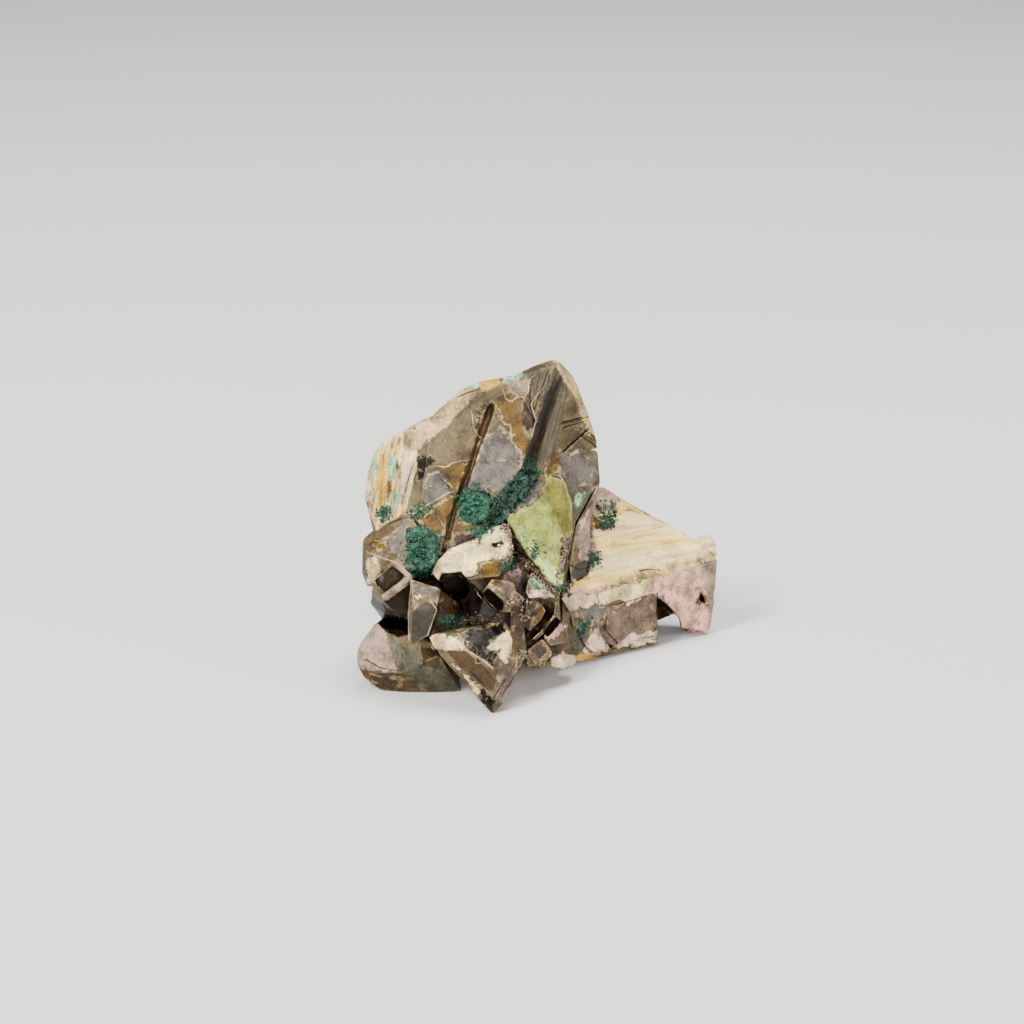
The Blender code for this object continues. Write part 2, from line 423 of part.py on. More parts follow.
def hollows():
    """Everything cut into the crystals: grooves, cracks, notches, pits and pockets."""
    long_groove = ((-3.85, 21.8), (-5.0, 18.5), (-5.8, 15.8), (-6.9, 13.2), (-7.55, 10.7), (-7.9, 9.4))
    yield from channel(panel, long_groove, 0.5, 0.6)
    yield from channel(right_face, ((2.1, 20.15), (4.2, 20.7)), 0.13, 0.35)
    yield from channel(right_face, ((2.2, 19.75), (4.3, 20.35)), 0.1, 0.3)
    yield from channel(right_face, ((2.2, 17.8), (4.2, 19.6)), 0.13, 0.35)
    yield from channel(right_face, ((4.7, 14.6), (3.15, 11.7), (2.6, 9.0)), 0.2, 0.5)
    yield from channel(panel, ((-10.6, 12.4), (-9.3, 10.5)), 0.14, 0.4)
    yield hull("edge_notch", [
        (4.3, 17.9, 5.0), (5.4, 18.05, 5.0), (5.4, 17.7, 5.0), (4.3, 17.9, -3.0), (5.4, 18.05, -3.0),
        (5.4, 17.7, -3.0),
    ])
    yield hull("crest_notch", [
        (-10.6, 19.9, 9.0), (-10.0, 20.1, 9.0), (-10.05, 19.3, 9.0), (-10.55, 19.35, 9.0), (-10.3, 19.6, 5.4),
    ])
    yield hull("arm_notch", [
        (9.75, 5.8, 1.0), (10.6, 5.3, 1.0), (11.9, 3.9, 1.0), (12.25, 2.9, 1.0), (12.3, -2.0, 1.0),
        (9.85, -2.0, 1.0),
        (10.0, 5.4, -7.5), (11.7, 3.9, -9.0), (12.0, -2.0, -9.0), (10.1, -2.0, -8.0),
    ])
    foot_outline = (
        (11.6, 3.05), (12.3, 2.9), (13.0, 2.65), (13.7, 2.45), (14.6, 2.75), (14.6, -3.0), (11.6, -3.0),
    )
    yield hull("under_foot", [(a, u, toward) for a, u in foot_outline for toward in (1.0, -7.3)])
    yield hull("arm_pit", [
        arm_front(13.6, 6.4, 0.5), arm_front(13.1, 5.4, 0.5), arm_front(13.4, 5.0, 0.5),
        arm_front(14.15, 4.8, 0.5), arm_front(14.0, 5.6, 0.5), arm_front(13.6, 5.5, -0.9),
    ])
    yield hull("chunk_pit", [
        arm_front(5.7, 2.0, 1.0), arm_front(6.6, 1.7, 1.0), arm_front(6.3, 1.0, 1.0),
        arm_front(5.5, 1.2, 1.0), arm_front(6.0, 1.5, -0.6),
    ])
    yield hull("corner_pit", [
        (2.5, 2.6, 6.0), (3.3, 2.4, 6.0), (3.5, 0.9, 6.0), (2.7, 0.9, 6.0), (3.0, 1.7, 1.0), (3.1, 1.2, 1.2),
    ])


def bed():
    """The space under the specimen, cut away so that it rests level."""
    half = BED_SIZE / 2
    floor = [(x, y, z) for x in (-half, half) for y in (-half, half) for z in (-BED_SIZE, 0.0)]
    return hull("bed", (), floor)


CRUSTS = {
    "green_crust_groove": (
        [(-1.0, 16.4, 6.7), (-0.5, 15.9, 6.3), (-1.9, 15.2, 7.3), (-1.25, 14.7, 6.9), (-2.85, 13.7, 7.7),
         (-2.4, 13.1, 7.4), (-3.9, 12.3, 8.0), (-3.5, 11.9, 7.9)],
        [(-0.75, 16.1, 5.1), (-1.7, 14.6, 5.7), (-2.9, 12.9, 6.5), (-3.7, 12.1, 7.1)],
    ),
    "green_crust_panel": (
        [panel(-5.9, 12.9, 0.35), panel(-5.3, 13.7, 0.5), panel(-4.6, 13.4, 0.5), panel(-4.6, 12.6, 0.5),
         panel(-5.3, 12.3, 0.45)],
        [panel(-6.2, 12.4, -0.2), panel(-6.1, 13.5, -0.2), panel(-5.2, 14.2, -0.2), panel(-4.3, 14.0, -0.2),
         panel(-4.1, 12.9, -0.2), panel(-4.8, 11.9, -0.2)],
    ),
    "green_crust_ledge": (
        [(-10.2, 10.6, 9.0), (-9.6, 10.7, 9.0), (-9.0, 9.9, 9.2), (-9.1, 8.7, 9.8), (-9.7, 8.5, 10.0),
         (-10.1, 9.2, 9.7)],
        [(-10.6, 11.0, 8.1), (-9.6, 11.2, 8.0), (-8.9, 10.3, 8.2), (-8.8, 8.5, 8.7), (-9.7, 8.1, 8.9),
         (-10.5, 8.9, 8.6)],
    ),
}


def crust_pockets():
    """A hollow a little larger than each crust, so that the crust sits in the crystal without touching it."""
    for crown, under in CRUSTS.values():
        pocket = hull("crust_pocket", crown + under)
        mesh = bmesh.new()
        mesh.from_mesh(pocket.data)
        mesh.normal_update()
        moved = [(v, v.normal * CRUST_GAP * MM * v.calc_shell_factor()) for v in mesh.verts]
        for vertex, outward in moved:
            vertex.co += outward
        mesh.to_mesh(pocket.data)
        mesh.free()
        yield pocket


def crust_grains(crown, dice):
    """Rough grains over the crown of a crust."""
    places = [seen(*corner) for corner in crown]
    middle = sum(places, Vector()) / len(places)
    for _ in range(GRAINS_PER_CRUST):
        first, second = dice.sample(places, 2)
        place = middle.lerp(first.lerp(second, dice.random()), 0.3 + 0.6 * dice.random())
        mesh = bmesh.new()
        bmesh.ops.create_icosphere(mesh, subdivisions=1, radius=dice.uniform(*GRAIN_RADII) * MM)
        bmesh.ops.translate(mesh, verts=mesh.verts, vec=place)
        data = bpy.data.meshes.new("crust_grain")
        mesh.to_mesh(data)
        mesh.free()
        yield bpy.data.objects.new("crust_grain", data)


def material(name, color, roughness, metallic):
    made = bpy.data.materials.new(name)
    made.use_nodes = True
    shader = made.node_tree.nodes["Principled BSDF"]
    shader.inputs["Base Color"].default_value = (*color, 1.0)
    shader.inputs["Roughness"].default_value = roughness
    shader.inputs["Metallic"].default_value = metallic
    return made


def stow(name, guides):
    """Keeps guide shapes together in a collection that isn't part of the model."""
    kept = bpy.data.collections.new(name)
    bpy.context.scene.collection.children.link(kept)
    for guide in guides:
        kept.objects.link(guide)
        guide.hide_render = True
        guide.display_type = "WIRE"
    return kept


def combine(target, name, operation, guides):
    step = target.modifiers.new(name, "BOOLEAN")
    step.operation = operation
    step.solver = "EXACT"
    step.operand_type = "COLLECTION"
    step.collection = stow(name, guides)


def main():
    for old in list(bpy.data.objects):
        bpy.data.objects.remove(old)
    crystals, *others = [
        *middle_crystals(), *upright_crystals(), *arm_crystals(), *left_crystals(), *back_crystals(),
        *small_back_crystals(), *growth_ridges(), *far_ridges(),
    ]
    crystals.name = "kesterite_crystals"
    crystals.data.materials.append(material("kesterite", (0.42, 0.36, 0.28), 0.45, 0.6))
    bpy.context.scene.collection.objects.link(crystals)
    combine(crystals, "grown_together", "UNION", others)
    combine(crystals, "cut_away", "DIFFERENCE", [*hollows(), *crust_pockets(), bed()])
    green = material("green_crust", (0.05, 0.28, 0.19), 0.9, 0.0)
    dice = random.Random(GRAIN_SEED)
    for name, (crown, under) in CRUSTS.items():
        crust = hull(name, crown + under)
        crust.data.materials.append(green)
        bpy.context.scene.collection.objects.link(crust)
        combine(crust, "grains_of_" + name, "UNION", crust_grains(crown, dice))


main()
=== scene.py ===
# %% [markdown]
# # A kesterite crystal group
# The specimen is a small group of metallic crystals that grew through each other. Copper, zinc and tin in
# them have weathered, so nearly every face wears a thin coat: cream, ochre, lavender, yellow-green, and
# teal-green grains in the hollows. The solid model comes in first as a fixed frame. Everything made here lies
# on it, so no piece has to be fitted by eye.

# %% The frame
import random
from math import cos, pi, radians, sin

import bmesh
import bpy
import numpy as np
from mathutils import Euler, Matrix, Vector, noise
from mathutils.bvhtree import BVHTree
from mathutils.kdtree import KDTree


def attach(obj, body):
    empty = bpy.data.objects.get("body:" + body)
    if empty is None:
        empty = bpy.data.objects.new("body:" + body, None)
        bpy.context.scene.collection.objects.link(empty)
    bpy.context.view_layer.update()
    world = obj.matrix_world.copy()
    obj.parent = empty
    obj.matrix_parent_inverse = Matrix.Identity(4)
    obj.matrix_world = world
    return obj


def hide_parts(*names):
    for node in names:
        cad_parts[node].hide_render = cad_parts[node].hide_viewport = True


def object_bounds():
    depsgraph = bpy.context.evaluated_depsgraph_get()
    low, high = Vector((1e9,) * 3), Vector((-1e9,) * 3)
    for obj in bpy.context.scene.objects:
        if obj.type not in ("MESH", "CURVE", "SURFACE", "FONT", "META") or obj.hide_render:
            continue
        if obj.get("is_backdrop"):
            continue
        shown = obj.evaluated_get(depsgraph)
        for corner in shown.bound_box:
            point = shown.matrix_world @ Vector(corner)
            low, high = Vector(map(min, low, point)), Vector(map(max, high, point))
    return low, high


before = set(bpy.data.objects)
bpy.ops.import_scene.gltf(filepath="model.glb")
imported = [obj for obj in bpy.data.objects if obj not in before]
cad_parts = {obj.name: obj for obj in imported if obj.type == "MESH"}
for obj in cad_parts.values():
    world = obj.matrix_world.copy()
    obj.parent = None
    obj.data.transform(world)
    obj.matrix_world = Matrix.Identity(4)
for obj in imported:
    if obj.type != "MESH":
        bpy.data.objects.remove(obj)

MM = 0.001
CAD_LOW, CAD_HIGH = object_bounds()
print("solid model, mm:", [round(c / MM, 2) for c in CAD_HIGH - CAD_LOW])

# %% [markdown]
# ## The camera
# The picture was taken from slightly above with a long lens, so lines that run back stay nearly parallel.
# A camera 250 mm away that looks down by 17.6 degrees gives the same outline. Its position is kept as a named
# value, because the coats further down are outlined by what this camera sees.

# %% Camera
EYE = Vector((-2.46, -234.235, 87.7)) * MM
LOOKS_DOWN = radians(17.6)
PICTURE = 1024
FOCAL_PIXELS = 3000
SENSOR = 36.0


def placed(name, data):
    made = bpy.data.objects.new(name, data)
    bpy.context.collection.objects.link(made)
    return made


camera = placed("camera", bpy.data.cameras.new("camera"))
camera.data.sensor_width = SENSOR
camera.data.lens = SENSOR * FOCAL_PIXELS / PICTURE
camera.data.clip_start = 10 * MM
camera.location = EYE
camera.rotation_euler = (pi / 2 - LOOKS_DOWN, 0, 0)
bpy.context.scene.camera = camera
print("lens, mm:", round(camera.data.lens, 1))

# %% [markdown]
# ## Paint, floor and light
# The renderer's tone curve lifts and washes out bright colours. So every colour here is given as it should
# look on the screen, and one helper mixes a paint that is darker and stronger by what the curve will take
# away.
#
# The floor is plain and pale. One large soft light stands at the upper left, as the shade in the deep groove
# tells, with weaker ones at the right, above and in front. Large lights give soft edges to the shadows.

# %% Paint
FACE_LIGHT = 3.0
TONE_GAIN = 0.70
TONE_SHOULDER = 0.97
TONE_WASH = 1.1
SCREEN_GAMMA = 2.2
DARKEST = 0.002
BRIGHTEST = 0.9


def paint(*screen):
    """The paint that looks like this 0-255 screen colour on a well lit face, after the tone curve."""
    linear = [(part / 255) ** SCREEN_GAMMA for part in screen]
    bright = [TONE_GAIN * part / (1 - TONE_SHOULDER * part) for part in linear]
    grey = sum(bright) / 3
    mixed = [(grey + TONE_WASH * (part - grey)) / FACE_LIGHT for part in bright]
    return (*(min(BRIGHTEST, max(DARKEST, part)) for part in mixed), 1)


print("paint for a cream face:", [round(part, 2) for part in paint(222, 212, 195)])

# %% Floor
FLOOR_COLOR = (0.58, 0.57, 0.56, 1)
FLOOR_REACH = 3.0


def new_material(name, constants):
    """Gives a material, its node tree and its shader, which takes the given constants."""
    made = bpy.data.materials.new(name)
    made.use_nodes = True
    shader = made.node_tree.nodes["Principled BSDF"]
    for socket, value in constants.items():
        shader.inputs[socket].default_value = value
    return made, made.node_tree, shader


def piece_from(mesh, name, material, values=None):
    """A finished object from a mesh in the making; values become attributes that its material reads."""
    data = bpy.data.meshes.new(name)
    mesh.to_mesh(data)
    mesh.free()
    for key, numbers in (values or {}).items():
        layer = data.attributes.new(key, "FLOAT", "POINT")
        layer.data.foreach_set("value", np.asarray(numbers, np.float32))
    data.materials.append(material)
    return placed(name, data)


sheet = bmesh.new()
bmesh.ops.create_grid(sheet, x_segments=1, y_segments=1, size=FLOOR_REACH)
pale_floor = new_material("pale_floor", {"Base Color": FLOOR_COLOR, "Roughness": 0.8})[0]
floor = piece_from(sheet, "floor", pale_floor)
floor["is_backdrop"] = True
print("floor, m:", list(floor.dimensions))

# %% Lights
AIM = Vector((0, 0, 10)) * MM
AIR_COLOR = (1.0, 0.98, 0.95, 1)
AIR_STRENGTH = 0.22
# Place and size in metres, power in watts
LIGHTS = {
    "main_light": ((-0.30, -0.26, 0.42), 0.16, 6.4),
    "right_light": ((0.42, -0.22, 0.22), 0.20, 1.6),
    "top_light": ((0.05, 0.10, 0.50), 0.25, 4.2),
    "front_light": ((0.04, -0.45, 0.16), 0.16, 1.7),
}
for name, (place, size, watts) in LIGHTS.items():
    light = placed(name, bpy.data.lights.new(name, "AREA"))
    light.data.size = size
    light.data.energy = watts
    light.location = place
    light.rotation_euler = (AIM - Vector(place)).to_track_quat("-Z", "Y").to_euler()
world = bpy.data.worlds.new("studio")
world.use_nodes = True
air = world.node_tree.nodes["Background"].inputs
air["Color"].default_value = AIR_COLOR
air["Strength"].default_value = AIR_STRENGTH
bpy.context.scene.world = world
print("lights:", list(LIGHTS))

# %% [markdown]
# ## A finer copy of the crystals
# The solid has crisp flat faces and a few thousand triangles. A real crystal face is never quite flat, and
# its edges are a little rounded, so the copy needs more points. Bevels fail where so many small faces meet,
# and a voxel remesh would swallow the hair-thin cracks. Halving the longest edge of each triangle until all
# are short keeps every corner of the solid where it is. The side that the picture shows is cut more finely.

# %% Cut the faces finely
FRONT_EDGE = 0.32 * MM
BACK_EDGE = 0.66 * MM
SAME_POINT = 1e-6
FLAT_ANGLE = radians(0.6)
TURNED_AWAY = -0.2


def finely_cut(mesh, front_edge, back_edge):
    """Halves the longest edge of each triangle until it is as short as its side of the specimen needs."""
    while True:
        mesh.normal_update()
        too_long = set()
        for face in mesh.faces:
            edge = max(face.edges, key=bmesh.types.BMEdge.calc_length)
            seen = face.normal.dot((EYE - face.verts[0].co).normalized()) > TURNED_AWAY
            if edge.calc_length() > (front_edge if seen else back_edge):
                too_long.add(edge)
        if not too_long:
            return
        bmesh.ops.subdivide_edges(
            mesh, edges=list(too_long), cuts=1, use_grid_fill=True, use_single_edge=True,
        )
        bmesh.ops.triangulate(mesh, faces=[face for face in mesh.faces if len(face.verts) > 3])


def merged_copy(node):
    """A copy of a CAD node's mesh whose loose triangles are joined and whose flat faces are whole again."""
    mesh = bmesh.new()
    mesh.from_mesh(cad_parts[node].data)
    bmesh.ops.remove_doubles(mesh, verts=mesh.verts, dist=SAME_POINT)
    bmesh.ops.dissolve_limit(mesh, angle_limit=FLAT_ANGLE, verts=mesh.verts, edges=mesh.edges)
    bmesh.ops.triangulate(mesh, faces=mesh.faces)
    return mesh


crystals_mesh = merged_copy("kesterite_crystals")
finely_cut(crystals_mesh, FRONT_EDGE, BACK_EDGE)
open_edges = sum(len(edge.link_faces) != 2 for edge in crystals_mesh.edges)
print("crystal faces:", len(crystals_mesh.faces), "open edges:", open_edges)

# %% [markdown]
# ## Rounded edges
# The coat softens every edge of the crystals by about a tenth of a millimetre. Smoothing only the points that
# lie on a clear edge does this, and leaves the flat faces flat. How far an edge stands out, or how deep a
# corner lies, is kept for later: coats are rubbed thin on the edges, and the corners get painted shade.

# %% Round the edges and measure them
CLEAR_EDGE = radians(16)
ROUNDING = 0.35
SHARPNESS_GAIN = 2.2
WORN_GAIN = 2.0
CORNER_SHADE_GAIN = 3.0


def smooth(mesh, verts, factor, rounds):
    """Moves points towards the middle of their neighbours, a few times."""
    for _ in range(rounds):
        bmesh.ops.smooth_vert(
            mesh, verts=verts, factor=factor, use_axis_x=True, use_axis_y=True, use_axis_z=True,
        )
    mesh.normal_update()


def standing_out(mesh):
    """How far each point stands out of its neighbours' middle, from -1 in a corner to 1 on an edge."""
    found = np.zeros(len(mesh.verts))
    for vert in mesh.verts:
        around = [edge.other_vert(vert).co for edge in vert.link_edges]
        middle = sum(around, Vector()) / len(around)
        reach = sum((co - vert.co).length for co in around) / len(around)
        found[vert.index] = vert.normal.dot(vert.co - middle) / reach
    return np.clip(found * SHARPNESS_GAIN, -1, 1)


def spread(mesh, values, rounds, gain=1.0):
    """Values from 0 to 1, averaged with their neighbours' so that they fade out over the surface."""
    values = np.clip(values, 0, 1)
    ends = np.array([[v.index for v in edge.verts] for edge in mesh.edges])
    count = np.bincount(ends.ravel(), minlength=len(values))
    for _ in range(rounds):
        total = np.bincount(ends[:, 0], values[ends[:, 1]], len(values))
        total += np.bincount(ends[:, 1], values[ends[:, 0]], len(values))
        values = 0.5 * values + 0.5 * total / count
    return np.clip(values * gain, 0, 1)


crystals_mesh.normal_update()
crystals_mesh.verts.index_update()
sharpness = standing_out(crystals_mesh)
on_edges = [
    vert for vert in crystals_mesh.verts
    if any(edge.calc_face_angle(0) > CLEAR_EDGE for edge in vert.link_edges)
]
smooth(crystals_mesh, on_edges, ROUNDING, 2)
worn_edge = spread(crystals_mesh, sharpness, 2, WORN_GAIN)
deep_corner = spread(crystals_mesh, -sharpness, 4, CORNER_SHADE_GAIN)
print("points on edges:", len(on_edges), "of", len(crystals_mesh.verts))

# %% [markdown]
# ## What the camera sees
# The coats have no simple form: each is a ragged patch that stops at a crystal's edge. The plainest way to
# place one is to draw its outline in the picture and let it fall on whatever face lies behind it, as a slide
# projector does. For each point of the mesh this needs its place in the picture, and whether a crystal in
# front hides it. Hidden points get their coats from noise further down.

# %% Find each point in the picture
LIFT = 0.04 * MM
GRAZING = -0.1


def picture_place(points):
    """Where points in space fall in the picture, in pixels from its upper left corner."""
    across = points[:, 0] - EYE.x
    ahead = points[:, 1] - EYE.y
    below = EYE.z - points[:, 2]
    depth = ahead * cos(LOOKS_DOWN) + below * sin(LOOKS_DOWN)
    drop = below * cos(LOOKS_DOWN) - ahead * sin(LOOKS_DOWN)
    return PICTURE / 2 + FOCAL_PIXELS * np.stack([across, drop], 1) / depth[:, None]


def in_sight(mesh):
    """True for each point that nothing hides from the camera."""
    shape = BVHTree.FromBMesh(mesh)
    found = np.zeros(len(mesh.verts), bool)
    for vert in mesh.verts:
        to_eye = (EYE - vert.co).normalized()
        if vert.normal.dot(to_eye) > GRAZING:
            start = vert.co + vert.normal * LIFT + to_eye * LIFT
            found[vert.index] = shape.ray_cast(start, to_eye)[0] is None
    return found


def coordinates(mesh):
    return np.array([vert.co[:] for vert in mesh.verts])


visible = in_sight(crystals_mesh)
print("points in sight:", int(visible.sum()), "of", len(visible))

# %% [markdown]
# ## The long groove
# The solid has the long groove of the front face as a narrow slit. On the specimen it is a soft channel with
# rounded lips. Smoothing the points of a band along it a few times widens the slit into that form.

# %% Soften the long groove
LONG_GROOVE = "492,402 487,420 478,442 468,474 456,505 450,525 446,540"
GROOVE_BAND = 8.0
GROOVE_REACH = 1.3 * MM
GROOVE_ROUNDS = 24
GROOVE_ROUNDING = 0.5
GROOVE_CORNER_SHADE = 0.05


def corners_of(text):
    """The corners of an outline or a line, written as across,down pairs."""
    return np.array([pair.split(",") for pair in text.split()], float)


def gap_to(places, start, end):
    """How far each place lies from a straight stretch of a line, in pixels."""
    along = end - start
    offset = places - start
    share = np.clip(offset @ along / (along @ along), 0, 1)
    return np.linalg.norm(offset - share[:, None] * along, axis=1)


def search_tree(places, chosen):
    """A tree that finds the nearest of the chosen places, by its number."""
    found = KDTree(len(chosen))
    for index in chosen:
        found.insert(places[index], index)
    found.balance()
    return found


points = coordinates(crystals_mesh)
places = picture_place(points)
groove = corners_of(LONG_GROOVE)
gaps = [gap_to(places, start, end) for start, end in zip(groove, groove[1:])]
in_band = np.min(gaps, axis=0) < GROOVE_BAND
lit = search_tree(points, np.flatnonzero(visible & in_band))
in_groove = [index for index in np.flatnonzero(in_band) if lit.find(points[index])[2] < GROOVE_REACH]
crystals_mesh.verts.ensure_lookup_table()
smooth(crystals_mesh, [crystals_mesh.verts[index] for index in in_groove], GROOVE_ROUNDING, GROOVE_ROUNDS)
# Less painted shade for the corners of the softened groove.
deep_corner[in_groove] *= GROOVE_CORNER_SHADE
print("groove points:", len(in_groove))

# %% [markdown]
# ## Hollows
# Hollows are darkened with painted shade, most where little light can reach. A point is in a hollow when
# many of the rays that leave it meet another face nearby. The share of such rays becomes a value that the
# material turns into painted shade.

# %% Measure the hollows
RAY_LIFT = 0.05 * MM
RAYS = 12
OUTWARDS = 1.1
HOLLOW_REACH = 3.5 * MM
GROOVE_HOLLOW_SHADE = 0.25


def shut_in(mesh, dice):
    """For each point, the share of the directions in which another face lies within reach."""
    shape = BVHTree.FromBMesh(mesh)
    found = np.zeros(len(mesh.verts))
    ways = [Vector([dice.gauss(0, 1) for _ in range(3)]).normalized() for _ in range(RAYS)]
    for vert in mesh.verts:
        start = vert.co + vert.normal * RAY_LIFT
        for way in ways:
            way = (way + vert.normal * OUTWARDS).normalized()
            found[vert.index] += shape.ray_cast(start, way, HOLLOW_REACH)[0] is not None
    return found / RAYS


hollow = spread(crystals_mesh, shut_in(crystals_mesh, random.Random(2)), 3)
# Less painted shade for the hollows of the softened groove.
hollow[in_groove] *= GROOVE_HOLLOW_SHADE
points = coordinates(crystals_mesh)
normals = np.array([vert.normal[:] for vert in crystals_mesh.verts])
places = picture_place(points)
print("hollow points:", int((hollow > 0.5).sum()))

# %% [markdown]
# ## Where the coats lie
# Each coat has a name and, below it, its outlines: one a line, drawn over the picture in pixels with as few
# corners as its shape needs. A line that starts with a space goes on with the outline above it. Later coats
# cover earlier ones. A point's value for a coat is 0.5 on the outline and rises inwards, so a material can
# roughen the border with noise instead of following the drawn line.

# %% The outlines of the coats
def drawings(text):
    """The drawn lines that stand under each name."""
    found = {}
    for row in text.strip().replace("\n ", " ").split("\n"):
        if row[0].isalpha():
            found[row] = rows = []
        else:
            rows.append(row)
    return found


# Some outlines lie where the crystals shade themselves, and there they are painted shade: the brown ones
# under the front crystal, beside the column, under the arm, in the arm's notch and at the foot of the low
# block, the black one in the cavity below the front crystal, and the brown one on the deep groove's left
# wall.
OUTLINES = drawings("""
roof
598,500 614,496 622,499 650,516 694,536 720,545 720,560 612,589 562,598 588,560 592,520
flank
360,470 376,445 402,428 418,440 417,470 405,512 376,530 366,508
band
558,366 568,380 566,396 560,424 555,450 545,474 534,474 538,450 550,410 560,384
536,366 556,362 562,370 548,396 536,400
block_foot
358,666 372,672 404,674 414,680 424,694 385,694 362,680
pink
612,588 720,558 720,600 712,635 690,633 683,626 665,600 653,594 640,602
366,498 374,500 375,520 367,512
555,616 567,626 552,644 543,637
496,563 518,556 522,580 514,600 502,590
pearl
382,619 387,630 393,660 400,672 380,672 358,667 356,651 364,637
590,486 612,484 622,500 612,512 594,515
586,510 594,505 596,560 588,580 583,560
580,517 590,518 590,558 580,564 576,540
506,380 528,378 532,388 522,398 510,396
700,560 718,556 720,630 710,634
lavender
424,476 436,468 446,470 452,492 434,503 424,500
484,435 500,425 518,440 524,452 522,480 505,492 480,492 466,505 456,505 468,474 478,450
560,450 580,450 598,460 600,478 590,486 566,486 558,475
574,608 610,604 606,620 576,630
512,512 522,493 540,478 547,492 530,507 516,513
380,540 404,524 414,536 398,556 385,552
411,584 437,588 414,610
taupe
610,606 640,600 653,595 656,630 640,642 612,648 590,640 590,624 604,618
412,556 440,548 450,560 434,575 420,580
484,578 502,575 516,585 514,602 500,590 486,592
572,652 590,636 604,650 590,660
500,662 520,655 517,682 503,702 494,704 498,680
grey_green
386,626 403,648 425,658 450,668 463,692 430,694 412,678 396,666
568,488 588,486 592,500 582,516 572,528 566,508
570,632 588,634 584,655 570,652
streak
598,586 640,574 700,556 717,551 717,558 690,566 640,581 602,592
636,573 654,567 656,572 640,577
yellow_green
545,476 564,478 567,490 571,503 572,519 570,536 565,556 563,585 559,593 549,582 537,565 522,549 511,530
 504,515 529,508 541,496
olive
545,478 564,479 570,500 573,524 566,544 556,526 549,508 540,498
pale_green
508,520 524,531 541,553 556,568 564,582 559,594 549,583 537,566 522,550
ochre
439,465 469,461 464,481 455,495 445,478
452,494 458,500 449,515 446,535 440,538 428,534 417,519 412,514 428,512 436,503
494,400 506,392 522,394 534,400 538,420 534,448 528,462 521,456 514,444 508,428 498,416
452,522 470,522 490,526 482,536 462,543 447,545
546,462 556,452 561,458 560,475 545,476
372,541 385,542 388,550 376,552
593,517 603,517 604,528 594,529
394,463 400,462 400,477 394,478
387,478 393,477 391,502 387,502
536,604 548,602 552,618 540,634 532,624
478,562 500,558 508,572 500,586 480,582
brown
428,600 468,600 466,626 430,636
508,606 526,598 540,602 532,630 522,640 512,640
362,672 412,678 400,688 372,686
697,586 708,596 708,606 696,603
557,536 568,534 569,556 562,570
474,411 487,400 490,408 485,425 479,437 473,428
366,489 373,490 373,510 367,506
526,650 543,638 553,653 540,662
656,600 668,606 682,628 656,628
454,530 470,532 480,536 462,546 448,548
576,388 590,392 596,406 584,404
522,398 533,400 536,420 533,442 526,437 519,418
groove_brown
561,374 563,379 551,411 540,442 530,466 522,470 524,456 534,425 545,395
smooth_brown
490,404 495,402 491,420 482,443 472,474 460,505 454,524 449,540 443,540 446,524 453,505 464,474 475,442
 484,420
446,651 465,651 484,667 496,681 493,692 484,686 468,672 456,662
422,646 439,649 440,669 424,666
white
362,470 371,460 372,505 364,498
404,440 417,446 415,472 406,498 400,504 402,470
697,532 712,532 717,545 704,546
560,597 600,590 600,604 570,611
550,655 562,652 577,655 575,664 562,669 550,664
524,592 546,588 556,597 529,600
415,594 422,593 422,601 415,600
583,652 592,634 598,627 603,638 610,648 600,655 590,657
616,647 622,640 632,633 640,637 648,630 657,630 656,642 634,646
bone
552,358 562,361 574,374 583,391 590,412 596,434 588,436 577,405 567,385 557,370
404,432 424,419 434,411 450,397 462,386 478,381 500,384 479,391 468,404 448,427 416,450 404,446
cream
430,574 436,561 452,548 480,538 494,525 508,524 512,546 508,556 500,560 478,562 478,574 464,576 445,573
 438,583
367,557 376,556 382,566 380,583 368,582
428,636 440,634 459,637 466,651 445,650 434,650
500,634 509,630 513,642 507,662 500,662 497,650 488,650 488,645
452,664 470,678 482,688 486,698 476,692 462,674
596,592 612,588 650,579 652,588 636,596 628,606 620,600 600,604
gold
478,381 500,377 504,386 480,392
377,455 387,450 388,480 385,513 377,515 376,485
576,656 598,652 598,661 578,663
mint
502,373 522,370 523,378 503,383
468,385 479,381 480,389 470,392
370,452 377,450 378,474 372,478
388,458 395,456 396,480 388,481
391,494 398,493 399,509 391,510
528,576 540,574 552,584 552,590 534,587
486,641 495,640 495,648 487,649
576,496 585,491 585,496 577,507
slate
412,612 427,601 437,608 429,634 411,645
577,562 590,560 590,574 578,582 571,575
478,596 488,606 497,614 486,622 474,620
mirror
374,581 392,565 407,577 384,594
383,601 411,583 408,611 400,617
black
482,594 487,587 504,601 504,610 497,612
556,616 562,622 548,638 543,632
364,588 380,602 400,618 409,620 409,634 398,637 386,632 368,612
438,583 441,573 461,572 468,580 484,594 478,621 466,624 461,604 446,593
steel
459,637 472,627 507,621 503,633 494,641 486,647 487,659 478,665 466,650
417,456 432,454 436,463 428,470 425,482 417,481
502,648 494,668 486,662 488,652
476,684 486,688 495,700 493,718 484,706
487,543 503,541 506,546 492,549
bar
390,561 397,559 414,575 411,581
409,575 414,581 386,601 380,596
teal
440,618 458,615 462,620 446,627
410,512 430,503 432,508 414,519
503,560 513,560 513,570 503,569
382,511 388,510 388,522 382,521
604,503 614,504 614,510 604,510
604,518 612,518 612,525 604,525
589,555 597,554 597,562 590,562
556,586 570,585 568,592 556,592
580,622 588,620 588,629 581,631
530,546 538,544 540,552 532,554
459,497 478,486 494,498 492,522 474,529 460,516
530,460 537,472 522,500 494,527 480,539 470,531 494,506 512,490
407,542 415,531 424,538 434,531 440,536 434,560 430,573 414,573 404,556
""")
print("outlines:", {coat: len(outlines) for coat, outlines in OUTLINES.items()})

# %% Values for the coats
BORDER = 9.0


